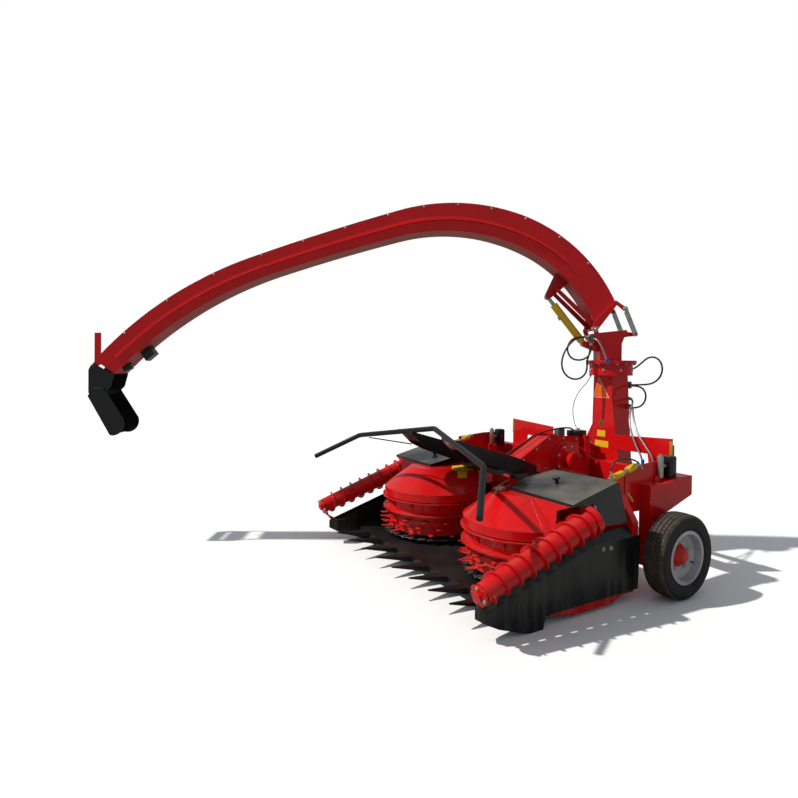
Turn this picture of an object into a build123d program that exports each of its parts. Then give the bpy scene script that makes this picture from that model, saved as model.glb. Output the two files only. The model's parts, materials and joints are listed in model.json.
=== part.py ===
"""Two-drum maize forage harvester for a tractor's three-point linkage.

Frame: origin at the centre of the drive shaft's end, +Y towards the tractor, +Z up,
+X to the machine's left.  Millimetres.  Heights named h_... are above the ground.
"""
from build123d import *
from math import atan2, cos, degrees, hypot, pi, radians, sin, tan
import os

os.makedirs("parts", exist_ok=True)

# Driving dimensions
pto_height = 600.0            # drive shaft above the ground
sheet = 6.0                   # sheet metal of covers and walls
seat_gap = 0.3                # between bodies that turn on each other

# Wheels
wheel_y = -833.0
tyre_radius = 290.0
tyre_width = 172.0
tyre_outer_x = 1267.0
rim_seat_radius = 165.0
rim_flange_radius = 183.0
hub_radius = 78.0
stub_radius = 25.0

# Legs and beams of the rear frame
leg_inner_x = 960.0
leg_outer_x = 1050.0
leg_front_y = -950.0
leg_rear_y = -780.0
leg_bottom_h = 180.0
leg_top_h = 750.0
beam_front_y = -560.0
beam_rear_y = -470.0
beam_bottom_h = 640.0
beam_top_h = 780.0
rail_width = 100.0
rail_bottom_h = 600.0
rail_top_h = 700.0

# Chopper housing, tower and turret
rotor_radius = 300.0
chopper_radius = 330.0
chopper_front_y = beam_rear_y
chopper_rear_y = -190.0
chopper_wall = 8.0
tower_x = 220.0
tower_y = -352.0
tower_base_width = 212.0
tower_top_width = 194.0
tower_top_depth = 200.0
tower_base_h = 600.0
collar_bottom_h = 1500.0
collar_height = 100.0
collar_top_h = collar_bottom_h + collar_height
collar_radius = 178.0
ring_radius = 208.0
ring_thickness = 28.0
tower_wall = 5.0

# Spout, drawn in its own plane: station forward of the turret's axis, height above ground
slew_angle = 32.0             # to the machine's right of straight ahead
spout_width = 230.0
spout_wall = 4.0
neck_front_s = 125.0
neck_rear_s = -60.0
neck_width = 180.0
neck_height = 173.0
waist_h = collar_top_h + neck_height
funnel_front_s, funnel_front_h = neck_front_s + 31.0, waist_h + 89.0
funnel_rear_s, funnel_rear_h = neck_rear_s - 36.0, waist_h + 117.0
funnel_width = 236.0
hinge_s, hinge_h = funnel_front_s + 25.0, funnel_front_h + 31.0
boss_s, boss_h = funnel_rear_s - 56.0, funnel_rear_h - 38.0
foot_s, foot_h = neck_front_s + 114.0, waist_h - 1.0
top_steps = [(-173.0, 232.0), (681.0, 990.0), (1680.0, 1008.0), (2972.0, 594.0), (4323.0, -303.0)]
low_steps = [(-16.0, 22.0), (563.0, 662.0), (1678.0, 782.0), (2744.0, 464.0), (4149.0, -423.0)]
spout_top = [(hinge_s + step_s, hinge_h + step_h) for step_s, step_h in top_steps]
spout_low = [(hinge_s + step_s, hinge_h + step_h) for step_s, step_h in low_steps]
crown_s, crown_h = spout_top[0]
root_s, root_h = spout_low[0]
mouth_top_s, mouth_top_h = spout_top[-1]
mouth_low_s, mouth_low_h = spout_low[-1]
ear_s, ear_h = crown_s - 72.0, crown_h - 59.0
eye_s, eye_h = root_s + 391.0, root_h + 263.0
flap_s, flap_h = mouth_top_s + 11.0, mouth_top_h - 50.0
knuckle_s, knuckle_h = flap_s - 27.0, flap_h - 223.0
pin_radius = 12.0
boss_radius = 10.0

# Header
drum_x = 565.0
drum_y = -1668.0
hood_radius = 430.0
hood_rim_h = 528.0
hood_skirt_h = 466.0
hood_top_h = 700.0
hood_slope = 37.0
ring_top_radius = 446.0
ring_low_radius = 442.0
finger_radius = 470.0
finger_count = 16
disc_radius = 418.0
disc_tooth_count = 36
floor_bottom_h = 90.0
floor_top_h = 130.0
floor_front_y = -2200.0
floor_rear_y = -1170.0
point_count = 8
point_pitch = 230.7
point_tip_y = -2482.0
point_tip_h = 161.0
panel_outer_x = 1080.0
panel_front_y, panel_front_h = -2415.0, 181.0
panel_kink_y, panel_kink_h = -1533.0, 439.0
panel_bottom_h = 78.0
panel_rear_y = -1095.0
floor_half_width = panel_outer_x - sheet
auger_x = 1105.0
auger_front_y, auger_front_h = -2478.0, 320.0
auger_rear_y, auger_rear_h = -1640.0, 600.0
auger_front_radius = 60.0
auger_rear_radius = 76.0
auger_flight_height = 22.0
auger_pitch = 100.0
cover_front_y = -1750.0
cover_inner_x = 503.0
cover_outer_x = 1084.0
cover_slope = 13.8
wall_y = -1170.0
wall_thickness = 60.0


def z(height):
    """Height above the ground as a z coordinate."""
    return height - pto_height


def yz_plane(x):
    """Plane across X with its own x along +Y and its own y along +Z, at ground level."""
    return Plane(origin=(x, 0, -pto_height), x_dir=(0, 1, 0), z_dir=(1, 0, 0))


def xz_plane(y):
    """Plane facing +Y seen from the rear: its own x along -X, its own y along +Z."""
    return Plane(origin=(0, y, -pto_height), x_dir=(-1, 0, 0), z_dir=(0, 1, 0))


slew = radians(slew_angle)
spout_forward = (-sin(slew), -cos(slew), 0)
spout_right = (-cos(slew), sin(slew), 0)
spout_plane = Plane(origin=(tower_x, tower_y, -pto_height), x_dir=spout_forward, z_dir=spout_right)


def spout_offset(across):
    """The spout's plane moved to the machine's right by across."""
    return spout_plane.offset(across)


# Tyres: section of width and radius, turned about the wheel's axle
tyre_x = tyre_outer_x - tyre_width / 2
half_tyre = tyre_width / 2
shoulder = 26.0
bead_half = 68.0
wheel_plane = Plane(origin=(tyre_x, wheel_y, z(tyre_radius)), x_dir=(1, 0, 0), z_dir=(0, 0, 1))
with BuildPart() as left_tyre:
    with BuildSketch(wheel_plane):
        with BuildLine():
            Polyline(
                (-bead_half, rim_seat_radius),
                (-bead_half, rim_flange_radius + 4),
                (-half_tyre + 6, rim_seat_radius + 40),
            )
            ThreePointArc(
                (-half_tyre + 6, rim_seat_radius + 40),
                (-half_tyre, rim_seat_radius + 72),
                (-half_tyre + 8, tyre_radius - shoulder),
            )
            Polyline(
                (-half_tyre + 8, tyre_radius - shoulder),
                (-half_tyre + shoulder, tyre_radius - 4),
                (0, tyre_radius),
                (half_tyre - shoulder, tyre_radius - 4),
                (half_tyre - 8, tyre_radius - shoulder),
            )
            ThreePointArc(
                (half_tyre - 8, tyre_radius - shoulder),
                (half_tyre, rim_seat_radius + 72),
                (half_tyre - 6, rim_seat_radius + 40),
            )
            Polyline(
                (half_tyre - 6, rim_seat_radius + 40),
                (bead_half, rim_flange_radius + 4),
                (bead_half, rim_seat_radius),
                (-bead_half, rim_seat_radius),
            )
        make_face()
    revolve(axis=Axis((tyre_x, wheel_y, z(tyre_radius)), (1, 0, 0)))

# Rims: barrel with flanges and a dished disc
rim_wall = 6.0
disc_offset = 28.0
with BuildPart() as left_rim:
    with BuildSketch(wheel_plane):
        with BuildLine():
            Polyline(
                (-bead_half - rim_wall, rim_flange_radius),
                (-bead_half, rim_flange_radius),
                (-bead_half, rim_seat_radius),
                (bead_half, rim_seat_radius),
                (bead_half, rim_flange_radius),
                (bead_half + rim_wall, rim_flange_radius),
                (bead_half + rim_wall, rim_seat_radius - rim_wall),
                (disc_offset, rim_seat_radius - rim_wall - 14),
                (disc_offset - 18, hub_radius + 30),
                (disc_offset - 18, hub_radius),
                (disc_offset - 26, hub_radius),
                (disc_offset - 26, hub_radius + 32),
                (disc_offset - 12, rim_seat_radius - rim_wall - 18),
                (-bead_half - rim_wall, rim_seat_radius - rim_wall),
                (-bead_half - rim_wall, rim_flange_radius),
            )
        make_face()
    revolve(axis=Axis((tyre_x, wheel_y, z(tyre_radius)), (1, 0, 0)))

# Hubs: a tapered bell round the stub axle
hub_inner_x = leg_outer_x + 30
with BuildPart() as left_hub:
    with BuildSketch(wheel_plane):
        with BuildLine():
            Polyline(
                (hub_inner_x - tyre_x, stub_radius + seat_gap),
                (hub_inner_x - tyre_x, hub_radius - 18),
                (disc_offset - 40, hub_radius - 18),
                (disc_offset - 26, hub_radius),
                (disc_offset - 18, hub_radius),
                (disc_offset + 26, 42),
                (disc_offset + 34, 30),
                (disc_offset + 34, 0),
                (disc_offset + 8, 0),
                (disc_offset + 8, stub_radius + seat_gap),
                (hub_inner_x - tyre_x, stub_radius + seat_gap),
            )
        make_face()
    revolve(axis=Axis((tyre_x, wheel_y, z(tyre_radius)), (1, 0, 0)))

# Wheel legs: post and arm in one weldment, with the stub axle
with BuildPart() as left_wheel_leg:
    with BuildSketch(yz_plane(leg_inner_x)):
        with BuildLine():
            Polyline(
                (leg_front_y, leg_bottom_h),
                (leg_rear_y, leg_bottom_h),
                (leg_rear_y, beam_bottom_h - 100),
                (beam_rear_y, beam_bottom_h),
                (beam_rear_y, beam_top_h),
                (beam_front_y - 60, beam_top_h),
                (leg_rear_y, leg_top_h),
                (leg_front_y, leg_top_h),
                close=True,
            )
        make_face()
    extrude(amount=leg_outer_x - leg_inner_x)
    with BuildSketch(yz_plane(leg_inner_x)):
        with BuildLine():
            Polyline(
                (wall_y + wall_thickness, rail_bottom_h - 40),
                (wall_y + wall_thickness, beam_top_h + 92),
                (beam_front_y - 240, beam_top_h + 116),
                (beam_front_y, beam_top_h + 116),
                (beam_front_y, rail_bottom_h - 40),
                close=True,
            )
        make_face()
    extrude(amount=sheet)
    stub_length = tyre_x + disc_offset + 4 - leg_outer_x
    with Locations((leg_outer_x + stub_length / 2, wheel_y, z(tyre_radius))):
        Cylinder(stub_radius, stub_length, rotation=(0, 90, 0))

# Rear cross beam and its two rails to the header's wall, all open-ended box tubes
beam_wall = 8.0
beam_middle = ((beam_front_y + beam_rear_y) / 2, (beam_bottom_h + beam_top_h) / 2)
beam_depth = beam_rear_y - beam_front_y
beam_height = beam_top_h - beam_bottom_h
rail_front_y = wall_y + wall_thickness
rail_height = rail_top_h - rail_bottom_h
with BuildPart() as main_frame:
    with BuildSketch(yz_plane(-leg_inner_x)):
        with Locations(beam_middle):
            Rectangle(beam_depth, beam_height)
            Rectangle(beam_depth - 2 * beam_wall, beam_height - 2 * beam_wall, mode=Mode.SUBTRACT)
    extrude(amount=2 * leg_inner_x)
    with BuildSketch(xz_plane(rail_front_y)):
        for side in (-1, 1):
            with Locations((side * (leg_inner_x - rail_width / 2), (rail_bottom_h + rail_top_h) / 2)):
                Rectangle(rail_width, rail_height)
                Rectangle(rail_width - 2 * beam_wall, rail_height - 2 * beam_wall, mode=Mode.SUBTRACT)
    extrude(amount=beam_front_y - rail_front_y)

# Header's rear wall: sheet with upright ribs, a sill and a mouth for the crop
mouth_half = 206.0
rib_thickness = 16.0
rib_places = (mouth_half, 440.0, 700.0, leg_inner_x - rail_width, floor_half_width - rib_thickness)
edging_inner_x = panel_outer_x - 50
sill_top_h = 190.0
with BuildPart() as header_wall:
    with BuildSketch(xz_plane(wall_y)):
        with BuildLine():
            Polyline(
                (-floor_half_width, floor_bottom_h),
                (floor_half_width, floor_bottom_h),
                (floor_half_width, hood_rim_h),
                (leg_inner_x, hood_top_h),
                (mouth_half, hood_top_h),
                (mouth_half, sill_top_h),
                (-mouth_half, sill_top_h),
                (-mouth_half, hood_top_h),
                (-leg_inner_x, hood_top_h),
                (-floor_half_width, hood_rim_h),
                close=True,
            )
        make_face()
    extrude(amount=wall_thickness)
    with BuildSketch(xz_plane(wall_y + sheet)):
        for side in (-1, 1):
            for inner, outer in zip(rib_places[:-1], rib_places[1:]):
                with Locations((side * (inner + rib_thickness + outer) / 2, (sill_top_h + hood_rim_h) / 2)):
                    Rectangle(outer - inner - rib_thickness, hood_rim_h - sill_top_h)
    extrude(amount=wall_thickness, mode=Mode.SUBTRACT)
    for begin in (-floor_half_width, edging_inner_x):
        with BuildSketch(yz_plane(begin)):
            with BuildLine():
                Polyline(
                    (-1952, floor_bottom_h),
                    (-1952, 76),
                    (-1713, 28),
                    (-1351, 28),
                    (-1292, 64),
                    (wall_y + 20, 64),
                    (wall_y + 20, floor_bottom_h + 10),
                    (wall_y, floor_bottom_h + 10),
                    (wall_y, floor_bottom_h),
                    close=True,
                )
            make_face()
        extrude(amount=floor_half_width - edging_inner_x)

# Floor with its row of long dividing points
deck_rim = 50.0
with BuildPart() as comb_floor:
    with Locations((0, (floor_front_y + floor_rear_y) / 2, z((floor_bottom_h + floor_top_h) / 2))):
        Box(2 * floor_half_width, floor_rear_y - floor_front_y, floor_top_h - floor_bottom_h)
    with Locations((0, (floor_front_y + floor_rear_y) / 2, z(floor_bottom_h))):
        Box(
            2 * (floor_half_width - deck_rim),
            floor_rear_y - floor_front_y - 2 * deck_rim,
            floor_top_h - floor_bottom_h - sheet,
            align=(Align.CENTER, Align.CENTER, Align.MIN),
            mode=Mode.SUBTRACT,
        )
    with Locations(*[(side * drum_x, drum_y, z(floor_bottom_h)) for side in (-1, 1)]):
        Cylinder(190, floor_top_h - floor_bottom_h, align=(Align.CENTER, Align.CENTER, Align.MIN))
        Cylinder(90, floor_top_h + 20 - floor_bottom_h, align=(Align.CENTER, Align.CENTER, Align.MIN))
    for side in (-1, 1):
        with Locations((side * drum_x, (drum_y + floor_rear_y) / 2, z(floor_bottom_h))):
            Box(110, floor_rear_y - drum_y, 38, align=(Align.CENTER, Align.CENTER, Align.MIN))
    point_half = 44.0
    for index in range(point_count):
        point_x = (index - (point_count - 1) / 2) * point_pitch
        root = Plane(origin=(point_x, floor_front_y, z(floor_bottom_h)), x_dir=(1, 0, 0), z_dir=(0, -1, 0))
        with BuildSketch(root):
            Rectangle(2 * point_half, floor_top_h - floor_bottom_h, align=(Align.CENTER, Align.MIN))
        with BuildSketch(root.offset(floor_front_y - point_tip_y)):
            with Locations((0, point_tip_h - floor_bottom_h - 8)):
                Rectangle(8, 8, align=(Align.CENTER, Align.MIN))
        loft()

# Drum hoods: half a cone in front, run back as a ridge under the gear cover
hood_top_radius = hood_radius - (hood_top_h - hood_rim_h) / sin(radians(hood_slope)) * cos(radians(hood_slope))


def hood_solid(shrink, drop, rear_y):
    """Half cone and ridge of the hood, made smaller by shrink all round."""
    rim = hood_radius - shrink
    top = hood_top_radius - shrink
    with BuildPart() as shape:
        with BuildSketch(Plane(origin=(drum_x, drum_y, -pto_height), x_dir=(1, 0, 0), z_dir=(0, -1, 0))):
            with BuildLine():
                Polyline(
                    (0, hood_skirt_h - drop),
                    (rim, hood_skirt_h - drop),
                    (rim, hood_rim_h - drop),
                    (top, hood_top_h - drop),
                    (0, hood_top_h - drop),
                    close=True,
                )
            make_face()
        revolve(axis=Axis((drum_x, drum_y, 0), (0, 0, 1)))
        with BuildSketch(xz_plane(drum_y)):
            with BuildLine():
                Polyline(
                    (-drum_x - rim, hood_skirt_h - drop),
                    (-drum_x - rim, hood_rim_h - drop),
                    (-drum_x - top, hood_top_h - drop),
                    (-drum_x + top, hood_top_h - drop),
                    (-drum_x + rim, hood_rim_h - drop),
                    (-drum_x + rim, hood_skirt_h - drop),
                    close=True,
                )
            make_face()
        extrude(amount=rear_y - drum_y)
    return shape.part


# Flat shoulder at each hood's outer side, arched over the auger: x and height of its cuts
shoulder_lean = 41.0
shoulder_inner_x, shoulder_outer_x = drum_x + hood_top_radius - 15, 1058.0
shoulder_arch = [(960, 658), (1058, 697), (1070, 697), (1070, 520), (977, 520), (968, 590)]
shoulder_waste = [
    (shoulder_inner_x - 2, hood_top_h - 14),
    (952, hood_rim_h - 2),
    (shoulder_inner_x - 2, hood_rim_h - 2),
]
with BuildPart() as left_drum_hood:
    add(hood_solid(0, 0, wall_y))
    add(hood_solid(sheet, sheet, wall_y), mode=Mode.SUBTRACT)
    with Locations((mouth_half / 2, wall_y, z(hood_skirt_h))):
        Box(mouth_half, 2 * 310, 2 * 400, mode=Mode.SUBTRACT)
    with BuildSketch(yz_plane(shoulder_inner_x)):
        with BuildLine():
            Polyline(
                (cover_front_y, hood_top_h),
                (cover_front_y + sheet, hood_top_h),
                (cover_front_y + sheet - shoulder_lean, hood_rim_h),
                (cover_front_y - shoulder_lean, hood_rim_h),
                close=True,
            )
        make_face()
    extrude(amount=shoulder_outer_x - shoulder_inner_x)
    with BuildSketch(xz_plane(cover_front_y - 100)):
        for corners in (shoulder_arch, shoulder_waste):
            with BuildLine():
                Polyline(*[(-x, height) for x, height in corners], close=True)
            make_face()
    extrude(amount=200, mode=Mode.SUBTRACT)

# Gear covers: sloping lid with front lip, rear plate, folded outer skirt and a knob
lid_stretch = 1 / cos(radians(cover_slope))
lid_front_h = hood_top_h + 14.0
lid_plane = Plane(
    origin=(0, cover_front_y, z(lid_front_h)),
    x_dir=(1, 0, 0),
    z_dir=(0, -sin(radians(cover_slope)), cos(radians(cover_slope))),
)
lid_corners = [
    (cover_inner_x, 0.0),
    (cover_outer_x, 0.0),
    (cover_outer_x, 424.0),
    (cover_inner_x + 42, 393.0),
    (cover_inner_x - 35, 197.0),
]
knob_x, knob_back = 750.0, 210.0
knob_steps = [(13.0, 0.0, 34.0), (26.0, 34.0, 14.0)]
rear_plate_back = 404.0


def lid_under(back):
    """Height of the lid's underside at a distance behind its front edge."""
    return lid_front_h + back * tan(radians(cover_slope))


lid_thick = sheet * lid_stretch
with BuildPart() as left_gear_cover:
    with BuildSketch(lid_plane):
        with BuildLine():
            Polyline(*[(x, back * lid_stretch) for x, back in lid_corners], close=True)
        make_face()
    extrude(amount=sheet)
    with BuildSketch(yz_plane(cover_inner_x)):
        with BuildLine():
            Polyline(
                (cover_front_y, hood_top_h),
                (cover_front_y, lid_under(0) + lid_thick),
                (cover_front_y + sheet, lid_under(sheet) + lid_thick),
                (cover_front_y + sheet, hood_top_h),
                close=True,
            )
        make_face()
    extrude(amount=cover_outer_x - cover_inner_x)
    with BuildSketch(yz_plane(cover_inner_x + 50)):
        with BuildLine():
            Polyline(
                (cover_front_y + rear_plate_back - 20, hood_top_h),
                (cover_front_y + rear_plate_back - 20, lid_under(rear_plate_back - 20) + 2),
                (cover_front_y + rear_plate_back - 20 + sheet, lid_under(rear_plate_back - 20 + sheet) + 2),
                (cover_front_y + rear_plate_back - 20 + sheet, hood_top_h),
                close=True,
            )
        make_face()
    extrude(amount=cover_outer_x - cover_inner_x - 50)
    with BuildSketch(yz_plane(cover_outer_x - sheet)):
        with BuildLine():
            Polyline(
                (cover_front_y, hood_top_h + 6),
                (cover_front_y, lid_under(0) + lid_thick),
                (cover_front_y + 424, lid_under(424) + lid_thick),
                (-1231, 540),
                (-1527, 552),
                (-1560, 690),
                (-1620, hood_top_h + 6),
                close=True,
            )
        make_face()
    extrude(amount=sheet)
    for radius, begin, height in knob_steps:
        with BuildSketch(lid_plane.offset(sheet + begin)):
            with Locations((knob_x, knob_back * lid_stretch)):
                Circle(radius)
        extrude(amount=height)

# Side panels: outer plate with a bevelled strip folded inwards and a pointed box nose
nose_inner_x = 985.0
nose_rear_y = -2205.0
nose_top_h = 210.0
nose_plan = [
    (panel_outer_x - sheet, panel_front_y + 4),
    (1022.0, -2460.0),
    (nose_inner_x, -2400.0),
    (nose_inner_x, nose_rear_y),
    (panel_outer_x - sheet, nose_rear_y),
]
bevel_in, bevel_up = 45.0, 60.0
bevel_front = 32.0 / bevel_up


def panel_point(y, height, part):
    """Point of the bevel's plane, part of the way up its slope."""
    return (panel_outer_x - bevel_in * part, y, z(height + bevel_up * part))


bevel_faces = [
    [(panel_front_y, panel_front_h), (panel_kink_y, panel_kink_h)],
    [(panel_kink_y, panel_kink_h), (wall_y, panel_kink_h)],
]
bevel_parts = [(bevel_front, 1.0), (1.0, 1.0)]
with BuildPart() as left_side_panel:
    with BuildSketch(Plane.XY.offset(z(panel_bottom_h))):
        with BuildLine():
            Polyline(*nose_plan, close=True)
        make_face()
    extrude(amount=nose_top_h - panel_bottom_h)
    with BuildSketch(yz_plane(nose_inner_x - 10)):
        with BuildLine():
            Polyline(
                (-2470, 150),
                (-2420, 122),
                (-2330, panel_bottom_h),
                (nose_rear_y + 1, panel_bottom_h),
                (nose_rear_y + 1, nose_top_h),
                (-2470, nose_top_h),
                close=True,
            )
        make_face()
    extrude(amount=panel_outer_x - nose_inner_x + 20, mode=Mode.INTERSECT)
    with BuildSketch(yz_plane(panel_outer_x - sheet)):
        with BuildLine():
            Polyline(
                (panel_front_y, panel_front_h),
                (panel_front_y - 5, 124),
                (-2330, panel_bottom_h),
                (panel_rear_y - 18, panel_bottom_h),
                (panel_rear_y, panel_kink_h - 10),
                (panel_rear_y - 12, panel_kink_h),
                (panel_kink_y, panel_kink_h),
                close=True,
            )
        make_face()
    extrude(amount=sheet)
    for (front, rear), (front_part, rear_part) in zip(bevel_faces, bevel_parts):
        strip = Face(Wire.make_polygon([
            panel_point(*front, 0),
            panel_point(*rear, 0),
            panel_point(*rear, rear_part),
            panel_point(*front, front_part),
        ]))
        extrude(to_extrude=strip, amount=sheet, dir=(-bevel_up, 0, -bevel_in))

# Runners: a skid shoe under each nose
with BuildPart() as left_runner:
    with BuildSketch(yz_plane(nose_inner_x)):
        with BuildLine():
            Polyline(
                (-2330, panel_bottom_h),
                (-2127, 8),
                (-2090, 0),
                (-1986, 0),
                (-1967, panel_bottom_h),
                close=True,
            )
        make_face()
    extrude(amount=panel_outer_x - nose_inner_x)

# Augers: tapering tube with a helical flight, set along the top of each panel
auger_pin_radius = 20.0
auger_wall = 8.0
auger_cap = 10.0
auger_rise = atan2(auger_rear_h - auger_front_h, auger_rear_y - auger_front_y)
auger_length = hypot(auger_rear_h - auger_front_h, auger_rear_y - auger_front_y)
auger_direction = (0, cos(auger_rise), sin(auger_rise))
auger_plane = Plane(
    origin=(auger_x, auger_front_y, z(auger_front_h)), x_dir=(1, 0, 0), z_dir=auger_direction
)
auger_bore = auger_pin_radius + seat_gap
auger_taper = atan2(auger_rear_radius - auger_front_radius, auger_length)
flight_start = 28.0
flight_root = 4.0
flight_thickness = 7.0
with BuildPart() as upright_auger:
    with BuildSketch(Plane.XZ):
        with BuildLine():
            Polyline(
                (auger_bore, 0),
                (auger_front_radius, 0),
                (auger_rear_radius, auger_length),
                (auger_bore, auger_length),
                (auger_bore, auger_length - auger_cap),
                (auger_rear_radius - auger_wall, auger_length - auger_cap),
                (auger_front_radius - auger_wall, auger_cap),
                (auger_bore, auger_cap),
                close=True,
            )
        make_face()
    revolve(axis=Axis.Z)
    flight_base = auger_front_radius + flight_start * tan(auger_taper)
    with BuildLine():
        Helix(
            pitch=auger_pitch,
            height=auger_length - flight_start - 20,
            radius=flight_base + auger_flight_height,
            center=(0, 0, flight_start),
            cone_angle=degrees(auger_taper),
        )
    with BuildSketch(Plane(origin=(flight_base - flight_root, 0, flight_start), x_dir=(1, 0, 0), z_dir=(0, -1, 0))):
        with Locations(((auger_flight_height + flight_root) / 2, 0)):
            Rectangle(auger_flight_height + flight_root, flight_thickness)
    sweep(is_frenet=True)
with BuildPart() as left_auger:
    add(upright_auger.part.moved(auger_plane.location))

# Auger bearings: case behind on the hood's side, lobed plate with a foot on the nose in front
case_radius = 92.0
case_length = 40.0
lobe_angles = (90.0, 210.0, 330.0)
with BuildPart() as left_auger_case:
    with BuildSketch(auger_plane.offset(auger_length + 6)):
        Circle(case_radius)
    extrude(amount=case_length)
    with BuildSketch(auger_plane.offset(auger_length - 24)):
        Circle(auger_pin_radius)
    extrude(amount=34)
    with Locations(((drum_x + auger_x) / 2, auger_rear_y + 46, z(auger_rear_h + 14))):
        Box(auger_x - drum_x, 30, 70)
    add(hood_solid(0, 0, wall_y), mode=Mode.SUBTRACT)
    with BuildSketch(auger_plane.offset(-20)):
        Circle(58)
        for angle in lobe_angles:
            with Locations((46 * cos(radians(angle)), 46 * sin(radians(angle)))):
                Circle(24)
        with Locations((-54, 34)):
            Rectangle(46, 68)
    extrude(amount=14)
    with BuildSketch(auger_plane.offset(-40)):
        Circle(28)
    extrude(amount=22)
    with BuildSketch(auger_plane.offset(-8)):
        Circle(auger_pin_radius)
    extrude(amount=32)
    with BuildSketch(yz_plane(auger_x - 77)):
        with BuildLine():
            Polyline((-2474, 250), (-2466, 256), (-2400, 216), (-2400, nose_top_h), (-2436, nose_top_h), close=True)
        make_face()
    extrude(amount=22)

# Gathering drums: open bell with two flanges, gussets and three rows of hooked fingers
drum_top_h = 459.0
drum_bottom_h = 188.0
ring_thick = 10.0
ring_low_h = 348.0
bell_top_radius = ring_top_radius - 36
bell_low_radius = bell_top_radius - 16
drum_skirt_radius = ring_low_radius - 62
drum_wall = 6.0
drum_post_radius = 60.0
finger_levels = (300.0, 250.0, 200.0)
finger_plate = 6.0
gusset_count = 12
gusset_thickness = 8.0
drum_axis = Axis((drum_x, drum_y, 0), (0, 0, 1))
drum_section = Plane(origin=(drum_x, drum_y, -pto_height), x_dir=(1, 0, 0), z_dir=(0, -1, 0))
with BuildPart() as left_drum:
    with BuildSketch(drum_section):
        with BuildLine():
            Polyline(
                (0, drum_top_h),
                (ring_top_radius, drum_top_h),
                (ring_top_radius, drum_top_h - ring_thick),
                (bell_top_radius, drum_top_h - ring_thick),
                (bell_low_radius, ring_low_h + ring_thick),
                (ring_low_radius, ring_low_h + ring_thick),
                (ring_low_radius, ring_low_h),
                (drum_skirt_radius, ring_low_h),
                (drum_skirt_radius, drum_bottom_h),
                (drum_skirt_radius - drum_wall, drum_bottom_h),
                (drum_skirt_radius - drum_wall, ring_low_h + ring_thick - 2),
                (bell_low_radius - drum_wall, ring_low_h + ring_thick + 4),
                (bell_top_radius - drum_wall - 2, drum_top_h - ring_thick - drum_wall),
                (drum_post_radius, drum_top_h - ring_thick - drum_wall),
                (drum_post_radius, drum_bottom_h),
                (0, drum_bottom_h),
                close=True,
            )
        make_face()
    revolve(axis=drum_axis)
    for index in range(gusset_count):
        turn = 2 * pi * index / gusset_count
        radial = Plane(
            origin=(drum_x, drum_y, -pto_height), x_dir=(cos(turn), sin(turn), 0), z_dir=(sin(turn), -cos(turn), 0)
        )
        with BuildSketch(radial.offset(-gusset_thickness / 2)):
            with BuildLine():
                Polyline(
                    (bell_top_radius - 4, drum_top_h - ring_thick + 2),
                    (ring_top_radius - 4, drum_top_h - ring_thick + 2),
                    (bell_low_radius - 1, ring_low_h + 2 * ring_thick + 4),
                    close=True,
                )
            make_face()
        extrude(amount=gusset_thickness)
    for row, level in enumerate(finger_levels):
        with BuildSketch(Plane.XY.offset(z(level))):
            with Locations((drum_x, drum_y)):
                Circle(drum_skirt_radius + 10)
                Circle(drum_skirt_radius - 4, mode=Mode.SUBTRACT)
                with PolarLocations(0, finger_count, start_angle=row * 360 / finger_count / len(finger_levels)):
                    Polygon(
                        (drum_skirt_radius + 2, -34),
                        (finger_radius - 21, -22),
                        (finger_radius, 12),
                        (finger_radius - 29, 4),
                        (drum_skirt_radius + 2, 26),
                        align=None,
                    )
        extrude(amount=finger_plate)

# Cutting discs with a toothed edge
disc_h = 160.0
disc_thickness = 6.0
with BuildPart() as left_disc:
    with BuildSketch(Plane.XY.offset(z(disc_h))):
        with Locations((drum_x, drum_y)):
            Circle(disc_radius)
            with PolarLocations(disc_radius - 4, disc_tooth_count):
                Rectangle(36, 22)
    extrude(amount=disc_thickness)
    with Locations((drum_x, drum_y, z(floor_top_h + 20 + seat_gap))):
        Cylinder(
            70, drum_bottom_h - floor_top_h - 20 - 2 * seat_gap,
            align=(Align.CENTER, Align.CENTER, Align.MIN),
        )

# Bar over the header that leans the crop forward, with its two arms
bar_radius = 20.0
bar_points = [
    (1153.0, -2539.0, 756.0),
    (844.0, -2262.0, 962.0),
    (0.0, -2055.0, 1097.0),
]
bar_route = [(x, y, z(h)) for x, y, h in bar_points]
bar_route = bar_route + [(-x, y, height) for x, y, height in reversed(bar_route[:-1])]
arm_x = 300.0
arm_width = 200.0
throat_top_h = 776.0
throat_front_y, throat_rear_y = -1480.0, -1352.0
bar_slope = (bar_points[2][1] - bar_points[1][1]) / bar_points[1][0]
arm_front_y = bar_points[2][1] - arm_x * abs(bar_slope)
arm_front_h = bar_points[2][2] - arm_x * (bar_points[2][2] - bar_points[1][2]) / bar_points[1][0]
arm_outline = [
    (arm_front_y, arm_front_h - 8),
    (arm_front_y, arm_front_h + 8),
    (-1603.0, 905.0),
    (-1391.0, 825.0),
    (-1391.0, throat_top_h),
    (-1615.0, throat_top_h + 2),
    (-1902.0, 880.0),
    (-2012.0, 934.0),
]
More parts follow.
